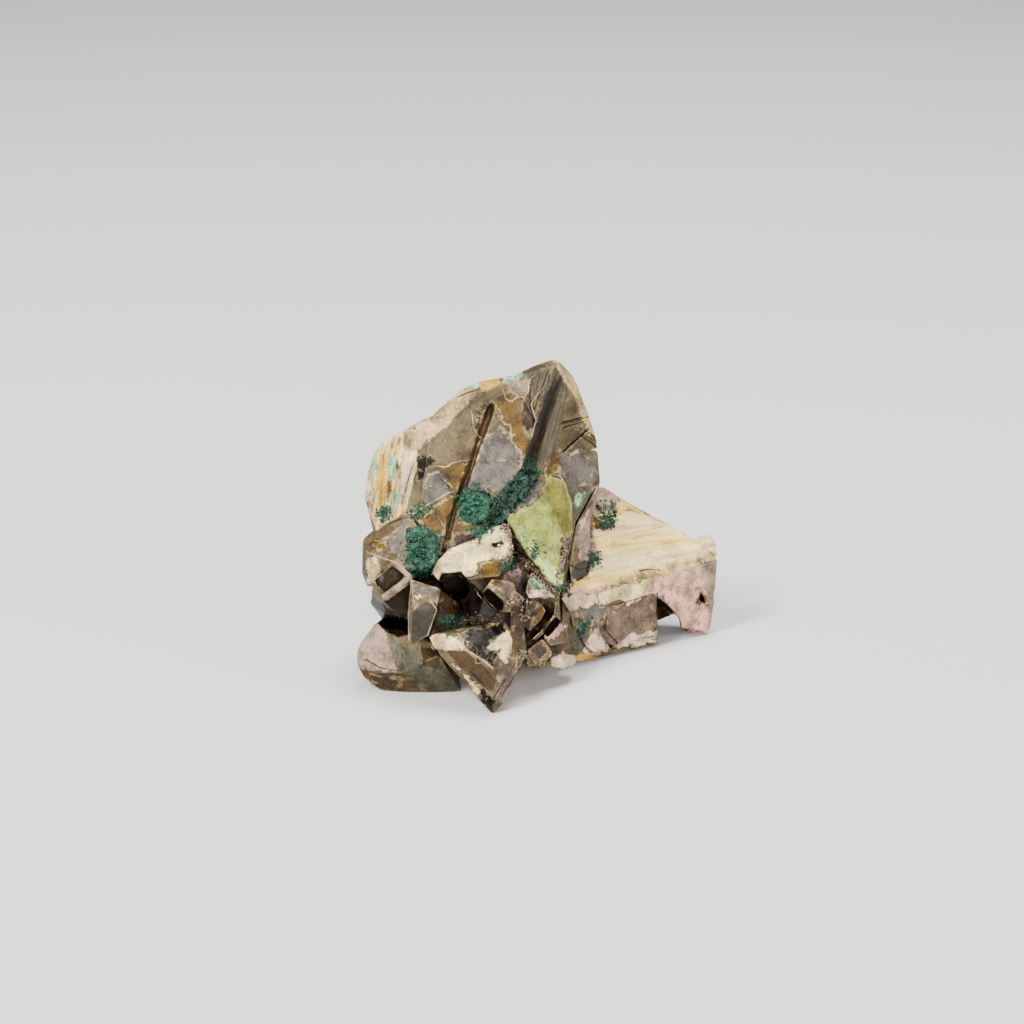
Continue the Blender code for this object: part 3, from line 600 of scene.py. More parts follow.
def inside_by(places, outline):
    """How far each place lies inside an outline, in pixels, and less than zero outside it."""
    corners = corners_of(outline)
    nearest = np.full(len(places), np.inf)
    inside = np.zeros(len(places), bool)
    for start, end in zip(corners, np.roll(corners, -1, axis=0)):
        nearest = np.minimum(nearest, gap_to(places, start, end))
        across, down = end - start
        if down:
            crossed = (start[1] > places[:, 1]) != (end[1] > places[:, 1])
            meeting = start[0] + (places[:, 1] - start[1]) * across / down
            inside ^= crossed & (places[:, 0] < meeting)
    return np.where(inside, nearest, -nearest)


coats = {}
for coat, outlines in OUTLINES.items():
    deepest = np.max([inside_by(places, outline) for outline in outlines], axis=0)
    coats[coat] = np.clip(0.5 + deepest / (2 * BORDER), 0, 1)
    print(coat, "covers", int((visible & (coats[coat] > 0.5)).sum()), "points in sight")

# %% [markdown]
# ## Cracks and pale edges
# Hair-thin cracks and the bright edges of lifted flakes are finer than the mesh. A line can still be kept on
# its points: each stores how far it lies to the left or right of the nearest line. Between two points on
# opposite sides that number passes through zero, and there the material draws the line, as thin as it likes.

# %% The lines
LINES = drawings("""
crack
411,516 420,526 427,538
563,424 576,421 588,417
565,449 574,441 587,429
528,396 531,410 535,428
533,375 530,390 531,405
440,478 448,486 452,494
388,524 398,520 409,517
498,692 508,676 516,662
504,692 512,680 520,668
492,700 500,688 507,674
580,428 590,433 598,440
578,434 588,440 596,447
459,397 467,393 476,391
570,565 580,570 590,566
462,668 474,676 488,690
610,606 632,600 653,594
524,476 514,490 505,503
556,376 546,402 538,424
548,372 540,392 535,408
640,571 650,569 660,570
606,643 613,649 622,645
367,660 380,668 396,670
412,468 406,489 401,507
592,492 582,514 576,524
flake
438,466 446,467 452,463 460,461 469,460
388,519 398,515 408,513
503,390 506,399 512,402 516,397 524,397 529,391 528,383 533,376
370,553 382,558 395,562 404,569 411,577
411,584 409,600 408,620 409,640
478,594 488,606 497,614
540,478 548,474 560,476 565,485 570,505 572,518 570,536
556,602 555,613 545,627 533,639
451,492 432,502 411,515
539,392 531,404 536,420 532,436
472,414 474,428 480,437
506,516 520,512 530,508 541,497
522,549 537,566 551,582 560,593
431,571 436,561 452,548 470,542
459,635 466,649 484,660 492,668
430,599 437,610 428,634
440,520 446,530 444,540
612,589 640,582 680,570 716,562
530,545 538,552 545,549 552,556
548,566 556,572 561,584
514,528 520,535 522,544
""")
LINE_REACH = 5.0
LINE_FADE = 1.6


def beside_lines(places, lines):
    """How far each place lies beside the nearest line, left or right, and how near it is, from 1 to 0."""
    nearest = np.full(len(places), np.inf)
    beside = np.zeros(len(places))
    for corners in map(corners_of, lines):
        for start, end in zip(corners, corners[1:]):
            gap = gap_to(places, start, end)
            along = end - start
            offset = places - start
            left = np.sign(along[0] * offset[:, 1] - along[1] * offset[:, 0])
            closer = gap < nearest
            nearest[closer] = gap[closer]
            beside[closer] = (gap * left)[closer]
    near = np.clip(LINE_FADE - nearest / LINE_REACH, 0, 1)
    return np.clip(beside / LINE_REACH, -1, 1), near


line_values = {}
for kind, lines in LINES.items():
    beside, near = beside_lines(places, lines)
    line_values[kind + "_beside"] = beside
    line_values[kind + "_near"] = near * visible
    print(kind, "lines:", len(lines))

# %% [markdown]
# ## The hidden sides
# The picture says nothing about the far side, but the same weather made its coats. Noise draws patches of
# the same coats there, and the direction of each face shifts the noise, so a patch stops at a crystal's
# edge. Close to the part in sight, a hidden point copies its nearest neighbour, so no border shows between
# the two.

# %% Coats on the hidden sides
HIDDEN_SHARES = {
    "pink": 0.34, "pearl": 0.20, "lavender": 0.28, "taupe": 0.30, "grey_green": 0.22, "ochre": 0.26,
    "brown": 0.22, "white": 0.08, "bone": 0.20, "cream": 0.24, "gold": 0.07, "mint": 0.05,
    "yellow_green": 0.06, "slate": 0.10, "mirror": 0.08, "teal": 0.06,
}
PATCH_SIZE = 4.6 * MM
FACE_SHIFT = 3.0
COAT_SHIFT = np.array((17.3, 5.1, 0))
NOISE_SWING = 0.62
PATCH_STEEPNESS = 3.5
FADE = 1.3 * MM


def smooth_step(low, high, values):
    share = np.clip((values - low) / (high - low), 0, 1)
    return share * share * (3 - 2 * share)


def noise_at(points, size, shift=(0, 0, 0)):
    """Smooth noise from about -1 to 1 at each point; size is how far apart its hills lie."""
    places = points / size + np.array(shift)
    return np.array([noise.noise(place) for place in places.tolist()])


in_view = np.flatnonzero(visible)
hidden = np.flatnonzero(~visible)
seen_tree = search_tree(points, in_view)
nearest_seen = [seen_tree.find(points[index])[1:] for index in hidden]
source = np.array([found[0] for found in nearest_seen])
far_in = smooth_step(0, FADE, np.array([found[1] for found in nearest_seen]))
shifted = points[hidden] / PATCH_SIZE + normals[hidden] * FACE_SHIFT
for number, coat in enumerate(coats):
    drawn = 0.0
    if coat in HIDDEN_SHARES:
        level = NOISE_SWING * (1 - 2 * HIDDEN_SHARES[coat])
        patches = noise_at(shifted, 1.0, COAT_SHIFT * number)
        drawn = np.clip(0.5 + (patches - level) * PATCH_STEEPNESS, 0, 1)
    coats[coat][hidden] = coats[coat][source] * (1 - far_in) + drawn * far_in
print("hidden points:", len(hidden), "of", len(points))

# %% [markdown]
# ## Relief
# The faces are wavy by a few hundredths of a millimetre, the coats lie on them like thick paint or are eaten
# into them, and the roof and the flank are striated. All of it moves the points themselves, so it is there in
# every light and in the exported mesh. The result is kept inside the box of the solid.

# %% Relief of the faces and coats
THICKNESS = {
    "pink": 0.03, "pearl": 0.03, "lavender": 0.02, "taupe": -0.02, "ochre": -0.03, "brown": -0.05,
    "smooth_brown": -0.06, "white": 0.03, "bone": 0.04, "cream": 0.05, "gold": 0.03, "mint": 0.03,
    "yellow_green": 0.12, "pale_green": 0.04, "slate": -0.03, "mirror": -0.04, "black": -0.04,
    "steel": -0.04, "bar": 0.08, "teal": 0.04,
}
# Along the lines, across them, and how high they stand in mm
GROWTH_LINES = {
    "roof": (Vector((0.82, 0.51, 0.26)), Vector((-0.48, 0.86, 0.15)), 0.09),
    "flank": (Vector((-0.12, -0.25, -0.96)), Vector((0.8, -0.6, 0.05)), 0.07),
    "band": (Vector((-0.26, -0.35, -0.90)), Vector((0.76, 0.50, -0.41)), 0.05),
    "block_foot": (Vector((1.0, -0.2, -0.08)), Vector((0.0, 0.35, 0.94)), 0.05),
}
LINE_WIDTH = 0.45 * MM
LINE_LENGTH = 9 * MM
WAVES = ((2.4 * MM, 0.05), (0.9 * MM, 0.022), (0.42 * MM, 0.012))
WORN_FLAT = 0.6
RESTING = 0.03 * MM
RAGGED_BY = 0.22
RAGGED_SIZE = 0.8 * MM
COAT_STEP = (0.42, 0.58)
LINED_STEP = (0.4, 0.7)
raised = np.zeros(len(points))
for size, height in WAVES:
    raised += height * noise_at(points, size)
ragged = RAGGED_BY * noise_at(points, RAGGED_SIZE, (3, 7, 1))
for coat, thickness in THICKNESS.items():
    at_border = (0 < coats[coat]) & (coats[coat] < 1)
    raised += thickness * smooth_step(*COAT_STEP, coats[coat] + ragged * at_border)
for face, (along, across, height) in GROWTH_LINES.items():
    along_by = points @ np.array(along.normalized())
    across_by = points @ np.array(across.normalized())
    stretched = np.stack([across_by / LINE_WIDTH, along_by / LINE_LENGTH, np.zeros(len(points))], 1)
    raised += height * smooth_step(*LINED_STEP, coats[face]) * noise_at(stretched, 1.0)
raised *= 1 - WORN_FLAT * worn_edge
moved = points + normals * (raised * MM)[:, None]
moved = np.clip(moved, np.array(CAD_LOW), np.array(CAD_HIGH))
resting = points[:, 2] < RESTING
moved[resting, 2] = points[resting, 2]
for vert, place in zip(crystals_mesh.verts, moved.tolist()):
    vert.co = place
print("relief, mm:", raised.min().round(3), raised.max().round(3))

# %% [markdown]
# ## Node helpers
# Materials here are long chains of small nodes. These few functions place a node, set or link its sockets,
# and give back the output that the next node needs, so a material reads like a recipe.

# %% Helpers for nodes
def put(tree, kind, inputs=None, **settings):
    """Adds a node; each input is a value or another node's output."""
    node = tree.nodes.new(kind)
    for setting, value in settings.items():
        setattr(node, setting, value)
    for socket, value in (inputs or {}).items():
        if isinstance(value, bpy.types.NodeSocket):
            tree.links.new(value, node.inputs[socket])
        else:
            node.inputs[socket].default_value = value
    return node


def give(tree, sockets, values):
    """Links finished outputs to the sockets of a shader, or to what a group puts out."""
    for socket, value in values.items():
        tree.links.new(value, sockets[socket])


def maths(tree, operation, first, second=0.0, third=0.0):
    return put(tree, "ShaderNodeMath", {0: first, 1: second, 2: third}, operation=operation).outputs[0]


def times(tree, first, second):
    return maths(tree, "MULTIPLY", first, second)


def lifted(tree, height, mask, by):
    """A height that rises by so much where the mask is 1."""
    return maths(tree, "MULTIPLY_ADD", mask, by, height)


def scaled(tree, vector, by):
    return put(tree, "ShaderNodeVectorMath", {0: vector, "Scale": by}, operation="SCALE").outputs[0]


def blend_numbers(tree, share, first, second):
    return put(tree, "ShaderNodeMix", {0: share, 2: first, 3: second}, data_type="FLOAT").outputs[0]


def blend_colors(tree, share, first, second):
    return put(tree, "ShaderNodeMix", {0: share, 6: first, 7: second}, data_type="RGBA").outputs[2]


def cover_with(tree, color, mask, strength, shade):
    """A colour with another shade laid over it where the mask is 1, as strongly as asked."""
    return blend_colors(tree, times(tree, mask, strength), color, shade)


def smooth_range(tree, value, low, high, to_low=0.0, to_high=1.0):
    inputs = {0: value, 1: low, 2: high, 3: to_low, 4: to_high}
    return put(tree, "ShaderNodeMapRange", inputs, interpolation_type="SMOOTHSTEP").outputs[0]


def noise_value(tree, vector, scale, detail=2.0, roughness=0.5):
    inputs = {"Vector": vector, "Scale": scale, "Detail": detail, "Roughness": roughness}
    return put(tree, "ShaderNodeTexNoise", inputs).outputs["Fac"]


def first_part(tree, color):
    return put(tree, "ShaderNodeSeparateColor", {0: color}).outputs[0]


def ramp_color(tree, value, stops):
    """A colour from a row of screen colours, each at its own value."""
    node = put(tree, "ShaderNodeValToRGB", {0: value})
    while len(node.color_ramp.elements) < len(stops):
        node.color_ramp.elements.new(0.5)
    for stop, (position, screen) in zip(node.color_ramp.elements, stops.items()):
        stop.position = position
        stop.color = paint(*screen)
    return node.outputs[0]


def attribute(tree, name):
    return put(tree, "ShaderNodeAttribute", attribute_name=name).outputs["Fac"]


def millimetres(tree):
    """Object coordinates in millimetres, so that every scale below is a number of features per millimetre."""
    return scaled(tree, put(tree, "ShaderNodeTexCoord").outputs["Object"], 1 / MM)


def bumped(tree, height, strength):
    """Normals that follow a height in millimetres."""
    return put(tree, "ShaderNodeBump", {"Height": height, "Distance": MM, "Strength": strength}).outputs[0]


def new_group(name, inputs, outputs):
    """A node group that reads a Vector and other inputs: numbers with a default, or a kind of socket."""
    group = bpy.data.node_groups.new(name, "ShaderNodeTree")
    for socket, value in {"Vector": "Vector", **inputs}.items():
        kind = value if isinstance(value, str) else "Float"
        made = group.interface.new_socket(name=socket, in_out="INPUT", socket_type="NodeSocket" + kind)
        if kind == "Float":
            made.default_value = value
    for socket in outputs:
        kind = "Color" if socket == "Color" else "Float"
        group.interface.new_socket(name=socket, in_out="OUTPUT", socket_type="NodeSocket" + kind)
    print("node group", name, "gives", outputs)
    given = group.nodes.new("NodeGroupInput").outputs
    return group, given, given["Vector"], group.nodes.new("NodeGroupOutput").inputs


def use_group(tree, group, vector, **inputs):
    return put(tree, "ShaderNodeGroup", {"Vector": vector, **inputs}, node_tree=group).outputs


# %% [markdown]
# ## Effects that several materials and coats share
# Each effect is a node group, built once and placed with its own values. Mottling varies a coat's colour in
# soft clouds with finer grain inside them. A ragged border turns a soft mask into a crisp one with an uneven
# edge. It also gives the rim, where old coats lift and turn pale, and the shadow just outside. Growth lines
# are fine steps along one direction. Specks are small dark pits. A drawn line follows the numbers that the
# points keep for cracks and flake edges, and flakes are large plates with a tone and a thin edge.

# %% Mottling
mottling, given, vector, results = new_group(
    "mottling", {"Scale": 1.0, "Dark": "Color", "Light": "Color"}, ["Color", "Height"],
)
tree = mottling
clouds = noise_value(tree, vector, given["Scale"], 3.0, 0.6)
grain = noise_value(tree, vector, times(tree, given["Scale"], 7.0), 3.0, 0.65)
mottled = smooth_range(tree, lifted(tree, times(tree, clouds, 0.6), grain, 0.4), 0.36, 0.64)
give(tree, results, {"Color": blend_colors(tree, mottled, given["Dark"], given["Light"]), "Height": grain})

# %% Ragged borders
RIM_WIDTH = 0.07
ragged_border, given, vector, results = new_group(
    "ragged_border", {"Mask": 0.0, "Scale": 1.1, "Raggedness": 0.9, "Softness": 0.04, "Holes": 0.0},
    ["Cover", "Rim", "Shadow"],
)
tree = ragged_border
uneven = maths(tree, "SUBTRACT", noise_value(tree, vector, given["Scale"], 5.0, 0.62), 0.5)
edge = lifted(tree, given["Mask"], uneven, given["Raggedness"])
hole = smooth_range(tree, noise_value(tree, vector, times(tree, given["Scale"], 2.3), 4.0, 0.6), 0.54, 0.64)
edge = maths(tree, "SUBTRACT", edge, times(tree, hole, given["Holes"]))
low = maths(tree, "SUBTRACT", 0.5, given["Softness"])
high = maths(tree, "ADD", 0.5, given["Softness"])
cover = smooth_range(tree, edge, low, high)
inner = smooth_range(tree, edge, high, maths(tree, "ADD", high, RIM_WIDTH))
outer = smooth_range(tree, edge, maths(tree, "SUBTRACT", low, RIM_WIDTH), low)
patchy = smooth_range(tree, noise_value(tree, vector, 0.9), 0.42, 0.62)
rim = times(tree, maths(tree, "SUBTRACT", cover, inner), patchy)
give(tree, results, {"Cover": cover, "Rim": rim, "Shadow": maths(tree, "SUBTRACT", outer, cover)})

# %% Growth lines
growth_lines, given, vector, results = new_group(
    "growth_lines", {"Along": "Vector", "Across": "Vector", "Lines": 2.0, "Stretch": 0.06},
    ["Bands", "Height"],
)
tree = growth_lines
along_part, across_part = (
    put(tree, "ShaderNodeVectorMath", {0: vector, 1: given[way]}, operation="DOT_PRODUCT").outputs["Value"]
    for way in ("Along", "Across")
)
shortened = times(tree, along_part, given["Stretch"])
line_vector = put(tree, "ShaderNodeCombineXYZ", {0: shortened, 1: across_part}).outputs[0]
give(tree, results, {
    "Bands": noise_value(tree, line_vector, given["Lines"], 2.0, 0.6),
    "Height": noise_value(tree, line_vector, times(tree, given["Lines"], 4.0), 3.0, 0.6),
})

# %% Specks
specks, given, vector, results = new_group(
    "specks", {"Scale": 4.0, "Share": 0.1, "Size": 0.2}, ["Mask"],
)
tree = specks
cells = put(tree, "ShaderNodeTexVoronoi", {"Vector": vector, "Scale": given["Scale"]}).outputs
chosen = maths(tree, "LESS_THAN", first_part(tree, cells["Color"]), given["Share"])
near = maths(tree, "LESS_THAN", cells["Distance"], given["Size"])
give(tree, results, {"Mask": times(tree, chosen, near)})

# %% Drawn lines
drawn_line, given, vector, results = new_group(
    "drawn_line", {"Beside": 1.0, "Near": 0.0, "Width": 0.2}, ["Mask"],
)
tree = drawn_line
wander = maths(tree, "SUBTRACT", noise_value(tree, vector, 2.2, 3.0), 0.5)
gap = maths(tree, "ABSOLUTE", lifted(tree, given["Beside"], wander, 0.3))
varied = smooth_range(tree, noise_value(tree, vector, 0.8), 0.3, 0.6, 0.35, 1.3)
share = maths(tree, "DIVIDE", gap, times(tree, given["Width"], varied))
inside = smooth_range(tree, share, 0.5, 1.1, 1.0, 0.0)
give(tree, results, {"Mask": times(tree, inside, smooth_range(tree, given["Near"], 0.2, 0.6))})

# %% Flakes
flakes, given, vector, results = new_group(
    "flakes", {"Scale": 0.8, "Bend": 0.5}, ["Tone", "Edge"],
)
tree = flakes
bends = put(tree, "ShaderNodeTexNoise", {"Vector": vector, "Scale": 0.9, "Detail": 3.0}).outputs["Color"]
bends = scaled(tree, bends, given["Bend"])
bent = put(tree, "ShaderNodeVectorMath", {0: vector, 1: bends}, operation="ADD").outputs[0]
inputs = {"Vector": bent, "Scale": given["Scale"]}
cell = put(tree, "ShaderNodeTexVoronoi", inputs).outputs["Color"]
border = put(tree, "ShaderNodeTexVoronoi", inputs, feature="DISTANCE_TO_EDGE").outputs["Distance"]
thin = smooth_range(tree, border, 0.006, 0.024, 1.0, 0.0)
some = smooth_range(tree, noise_value(tree, vector, 0.5), 0.52, 0.62)
give(tree, results, {"Tone": first_part(tree, cell), "Edge": times(tree, thin, some)})

# %% [markdown]
# ## The crystals' material
# Under everything is bare kesterite: dark, metallic and a little tarnished, in plates of slightly different
# tone. Four faces are banded, so a row of colours follows their growth lines.

# %% Bare kesterite and its bands
# Colours by noise value, lines per mm, and change along a line as a share of the change across it
BANDS = {
    "roof": ({0.30: (190, 178, 140), 0.42: (240, 222, 180), 0.52: (248, 230, 212),
              0.62: (236, 212, 196), 0.74: (252, 242, 228)}, 0.9, 0.04),
    "flank": ({0.28: (132, 110, 74), 0.40: (218, 202, 140), 0.50: (236, 228, 206),
               0.60: (204, 174, 108), 0.72: (240, 234, 220)}, 1.4, 0.04),
    "band": ({0.30: (56, 48, 34), 0.44: (112, 102, 82), 0.52: (140, 132, 108),
              0.60: (92, 82, 62), 0.70: (150, 140, 120)}, 2.0, 0.05),
    "block_foot": ({0.30: (50, 36, 22), 0.42: (92, 70, 44), 0.52: (126, 98, 60),
                    0.60: (84, 62, 40), 0.72: (150, 126, 96)}, 1.2, 0.12),
}
BAND_STRENGTH = 0.85
BARE_ROUGHNESS = 0.42
BARE_METAL = 0.2
coated, tree, shader = new_material("coated_kesterite", {"Specular IOR Level": 0.22})
vector = millimetres(tree)
bare = use_group(tree, mottling, vector, Scale=0.5, Dark=paint(106, 93, 68), Light=paint(162, 147, 116))
plates = use_group(tree, flakes, vector, Bend=0.9)
color = bare["Color"]
roughness = BARE_ROUGHNESS
metallic = BARE_METAL
height = lifted(tree, times(tree, bare["Height"], 0.06), plates["Tone"], 0.02)
for face, (stops, lines, stretch) in BANDS.items():
    along, across, _ = GROWTH_LINES[face]
    growth = use_group(
        tree, growth_lines, vector, Along=along.normalized(), Across=across.normalized(), Lines=lines,
        Stretch=stretch,
    )
    border = use_group(
        tree, ragged_border, vector, Mask=attribute(tree, face), Scale=1.2, Raggedness=0.4, Softness=0.05,
    )
    color = cover_with(tree, color, border["Cover"], BAND_STRENGTH, ramp_color(tree, growth["Bands"], stops))
    height = lifted(tree, height, times(tree, growth["Height"], border["Cover"]), 0.12)
print("banded faces:", list(BANDS))

# %% [markdown]
# Each coat is then laid over it in order, with its own two colours, gloss and metal, and each adds to one
# height. Some also have a pale rim, or a shadow just outside. The crisp ones are smooth facets with cleaner
# borders, and the darkest coats are metal.

# %% The coats
# Dark and light screen colour, roughness, metal, clouds per mm, softness of the border, and holes
FINISHES = {
    "pink": ((178, 160, 147), (232, 215, 206), 0.5, 0.0, 0.9, 0.06, 0.2),
    "pearl": ((150, 137, 124), (210, 194, 180), 0.45, 0.0, 0.7, 0.08, 0.1),
    "lavender": ((110, 102, 93), (164, 154, 144), 0.42, 0.1, 0.8, 0.12, 0.3),
    "taupe": ((114, 100, 87), (178, 157, 139), 0.42, 0.1, 0.9, 0.10, 0.2),
    "grey_green": ((90, 86, 68), (142, 137, 116), 0.42, 0.1, 0.5, 0.10, 0.1),
    "streak": ((128, 120, 84), (206, 192, 148), 0.5, 0.0, 1.4, 0.25, 0.3),
    "yellow_green": ((152, 150, 80), (208, 213, 154), 0.3, 0.0, 0.5, 0.02, 0.0),
    "olive": ((138, 132, 70), (188, 184, 114), 0.3, 0.0, 0.6, 0.25, 0.2),
    "pale_green": ((168, 184, 128), (226, 231, 198), 0.4, 0.0, 0.8, 0.15, 0.3),
    "ochre": ((94, 70, 24), (158, 130, 66), 0.38, 0.1, 0.9, 0.08, 0.15),
    # In the cavities under the front crystal and the arm, the arm's notch and the low block's foot, brown is
    # painted shade.
    "brown": ((50, 38, 24), (112, 86, 54), 0.36, 0.1, 1.2, 0.12, 0.2),
    # This brown lies on the deep groove's shaded left wall: partly a brown coat, partly painted shade.
    "groove_brown": ((40, 30, 19), (86, 68, 46), 0.45, 0.0, 0.7, 0.12, 0.0),
    "smooth_brown": ((76, 60, 36), (120, 98, 62), 0.3, 0.1, 0.5, 0.04, 0.0),
    "white": ((186, 172, 156), (230, 222, 210), 0.55, 0.0, 1.0, 0.06, 0.15),
    "bone": ((158, 146, 114), (216, 204, 174), 0.5, 0.0, 0.5, 0.06, 0.12),
    "cream": ((188, 174, 146), (236, 226, 204), 0.5, 0.0, 0.7, 0.06, 0.1),
    "gold": ((186, 162, 88), (218, 200, 124), 0.5, 0.0, 1.0, 0.10, 0.2),
    "mint": ((112, 160, 142), (206, 222, 204), 0.6, 0.0, 1.6, 0.12, 0.5),
    "slate": ((72, 67, 55), (106, 100, 86), 0.42, 0.1, 0.5, 0.05, 0.0),
    "mirror": ((56, 49, 41), (92, 82, 70), 0.36, 0.9, 0.6, 0.04, 0.0),
    # In the cavity below the front crystal, black is painted shade; elsewhere it is the colour of black
    # facets.
    "black": ((17, 14, 10), (48, 40, 32), 0.4, 1.0, 0.8, 0.05, 0.0),
    "steel": ((26, 24, 21), (78, 72, 65), 0.4, 0.8, 2.4, 0.04, 0.25),
    "bar": ((148, 133, 117), (200, 185, 166), 0.45, 0.0, 1.2, 0.05, 0.0),
    "teal": ((22, 66, 50), (98, 150, 126), 0.6, 0.0, 3.0, 0.08, 0.8),
}
CRISP = ("groove_brown", "smooth_brown", "slate", "mirror", "black", "bar")
RAGGEDNESS = {**dict.fromkeys(CRISP, 0.3), "white": 0.55, "bone": 0.75, "cream": 0.75}
RIM_COLOR = paint(226, 217, 196)
SHADOW_COLOR = paint(62, 46, 32)
RIMS = {
    "ochre": 0.5, "brown": 0.3, "yellow_green": 0.8, "lavender": 0.5, "taupe": 0.4, "cream": 0.2,
    "steel": 0.5, "pink": 0.3,
}
COAT_RISE = 0.03
SHADOWS = {"yellow_green": 0.6, "cream": 0.5, "white": 0.5, "pink": 0.3, "ochre": 0.4, "lavender": 0.25}


def brushed_sheen(shade):
    """Bright streaks along fine striations over a dark metallic colour: painted sheen."""
    sheen_streaks = use_group(
        tree, growth_lines, vector, Along=(0.78, -0.30, -0.55), Across=(0.60, -0.10, 0.80), Lines=3.0,
        Stretch=0.08,
    )["Bands"]
    share = smooth_range(tree, sheen_streaks, 0.5, 0.66, 0.0, 0.45)
    return blend_colors(tree, share, shade, paint(136, 128, 118))


polished = 0.0
for coat, (dark, light, gloss, metal, scale, softness, holes) in FINISHES.items():
    border = use_group(
        tree, ragged_border, vector, Mask=attribute(tree, coat), Softness=softness, Holes=holes,
        Raggedness=RAGGEDNESS.get(coat, 0.9),
    )
    cover = border["Cover"]
    shade = use_group(tree, mottling, vector, Scale=scale, Dark=paint(*dark), Light=paint(*light))["Color"]
    if coat in SHADOWS:
        color = cover_with(tree, color, border["Shadow"], SHADOWS[coat], SHADOW_COLOR)
    # On the steel facets, painted sheen runs in bright streaks.
    color = blend_colors(tree, cover, color, brushed_sheen(shade) if coat == "steel" else shade)
    roughness = blend_numbers(tree, cover, roughness, gloss)
    metallic = blend_numbers(tree, cover, metallic, metal)
    if coat in RIMS:
        color = cover_with(tree, color, border["Rim"], RIMS[coat], RIM_COLOR)
    if coat in CRISP:
        height = blend_numbers(tree, cover, height, 0.0)
        polished = maths(tree, "MAXIMUM", polished, cover)
    else:
        height = lifted(tree, height, cover, COAT_RISE)
print("coats:", len(FINISHES))

# %% [markdown]
# Last come wear and painted shade. Plates differ a little in tone and have thin pale edges, small pits are
# dark, worn edges are rubbed pale, and the corners and hollows are darkened brown with painted shade. The
# polished facets stay clean of plate edges and rubbing. Cracks and flake edges are drawn on top.

# %% Wear, painted shade and lines
rough_share = maths(tree, "SUBTRACT", 1.0, polished)
color = scaled(tree, color, smooth_range(tree, plates["Tone"], 0.0, 1.0, 0.84, 1.1))
color = cover_with(tree, color, times(tree, plates["Edge"], rough_share), 0.16, paint(214, 204, 186))
pits = use_group(tree, specks, vector, Scale=2.6, Share=0.14)["Mask"]
color = cover_with(tree, color, pits, 0.3, paint(58, 44, 34))
height = lifted(tree, height, pits, -0.03)
worn = use_group(
    tree, ragged_border, vector, Mask=attribute(tree, "worn"), Scale=1.8, Raggedness=1.4, Softness=0.2,
)["Cover"]
color = cover_with(tree, color, worn, times(tree, rough_share, 0.14), paint(220, 210, 190))
# Painted shade: deep corners are darkened brown.
corner_shade = use_group(
    tree, ragged_border, vector, Mask=attribute(tree, "deep"), Scale=1.6, Raggedness=0.7, Softness=0.3,
)["Cover"]
color = cover_with(tree, color, corner_shade, 0.8, paint(44, 32, 22))
# Painted shade: hollows are darkened by how shut in they are.
shut = smooth_range(tree, attribute(tree, "hollow"), 0.3, 0.9)
hollow_shade = times(tree, shut, smooth_range(tree, noise_value(tree, vector, 1.3, 4.0), 0.25, 0.6, 0.6, 1.0))
color = cover_with(tree, color, hollow_shade, 0.85, paint(40, 30, 22))
for kind, width, strength, screen, rise in (
    ("crack", 0.16, 0.85, (44, 32, 24), -0.05), ("flake", 0.1, 0.55, (226, 217, 198), 0.02),
):
    beside = attribute(tree, kind + "_beside")
    near = attribute(tree, kind + "_near")
    line = use_group(tree, drawn_line, vector, Beside=beside, Near=near, Width=width)["Mask"]
    color = cover_with(tree, color, line, strength, paint(*screen))
    height = lifted(tree, height, line, rise)
give(tree, shader.inputs, {
    "Base Color": color, "Roughness": roughness, "Metallic": metallic, "Normal": bumped(tree, height, 0.9),
})
print("nodes in", coated.name + ":", len(tree.nodes))

# %% [markdown]
# ## The crystals as a piece
# The mesh becomes an object that takes the solid's place. The value of each coat, line, edge and hollow goes
# with it as an attribute, one number a point. Edges sharper than 28 degrees stay crisp in the shading.

# %% The coated crystals
SHARP_ANGLE = radians(28)
crystals_mesh.normal_update()
for face in crystals_mesh.faces:
    face.smooth = True
for edge in crystals_mesh.edges:
    edge.smooth = edge.calc_face_angle(0) < SHARP_ANGLE
values = {**coats, **line_values, "worn": worn_edge, "deep": deep_corner, "hollow": hollow}
crystals = piece_from(crystals_mesh, "coated_crystals", coated, values)
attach(crystals, "root")
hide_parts("kesterite_crystals")
print(crystals.name, "triangles:", len(crystals.data.polygons))

# %% [markdown]
# ## The teal crusts
# The crusts are heaps of tiny crystals, like coloured sugar. Each one here is the CAD crust grown until it
# closes the narrow gap around it, with about a thousand angular grains on top. A grain is a twenty-sided
# ball, squashed at random: with so few faces it catches the light like a crystal, and it stays light.

# %% Teal material
crust_material, tree, shader = new_material("teal_crust", {"Roughness": 0.4, "Specular IOR Level": 0.35})
cloud = use_group(
    tree, mottling, millimetres(tree), Scale=0.6, Dark=paint(8, 40, 29), Light=paint(58, 122, 96),
)
glint = maths(tree, "POWER", attribute(tree, "tint"), 2.5)
color = cover_with(tree, cloud["Color"], glint, 0.8, paint(104, 170, 140))
# Each crust's lightness darkens it; for the crust in the deep groove this is painted shade.
color = scaled(tree, color, attribute(tree, "shade"))
give(tree, shader.inputs, {"Base Color": color, "Normal": bumped(tree, cloud["Height"], 0.25)})
print("nodes in", crust_material.name + ":", len(tree.nodes))

# %% Grains of the crusts
GRAIN_BATCH = 100
GRAIN_POINTS = 12
GRAIN_SIZES = (0.05 * MM, 0.14 * MM)
MOAT = 0.34 * MM
CRUST_ROUGH = 0.34 * MM
CRUST_EDGE = 0.3 * MM
# Number of grains, how far the side that faces the camera sinks in mm, and how light the crust is
CRUSTS = {
    # The groove crust's low lightness is painted shade of the deep groove.
    "green_crust_groove": (1100, 0.35, 0.38),
    "green_crust_panel": (800, 0.2, 1.0),
    "green_crust_ledge": (900, 0.2, 0.8),
}


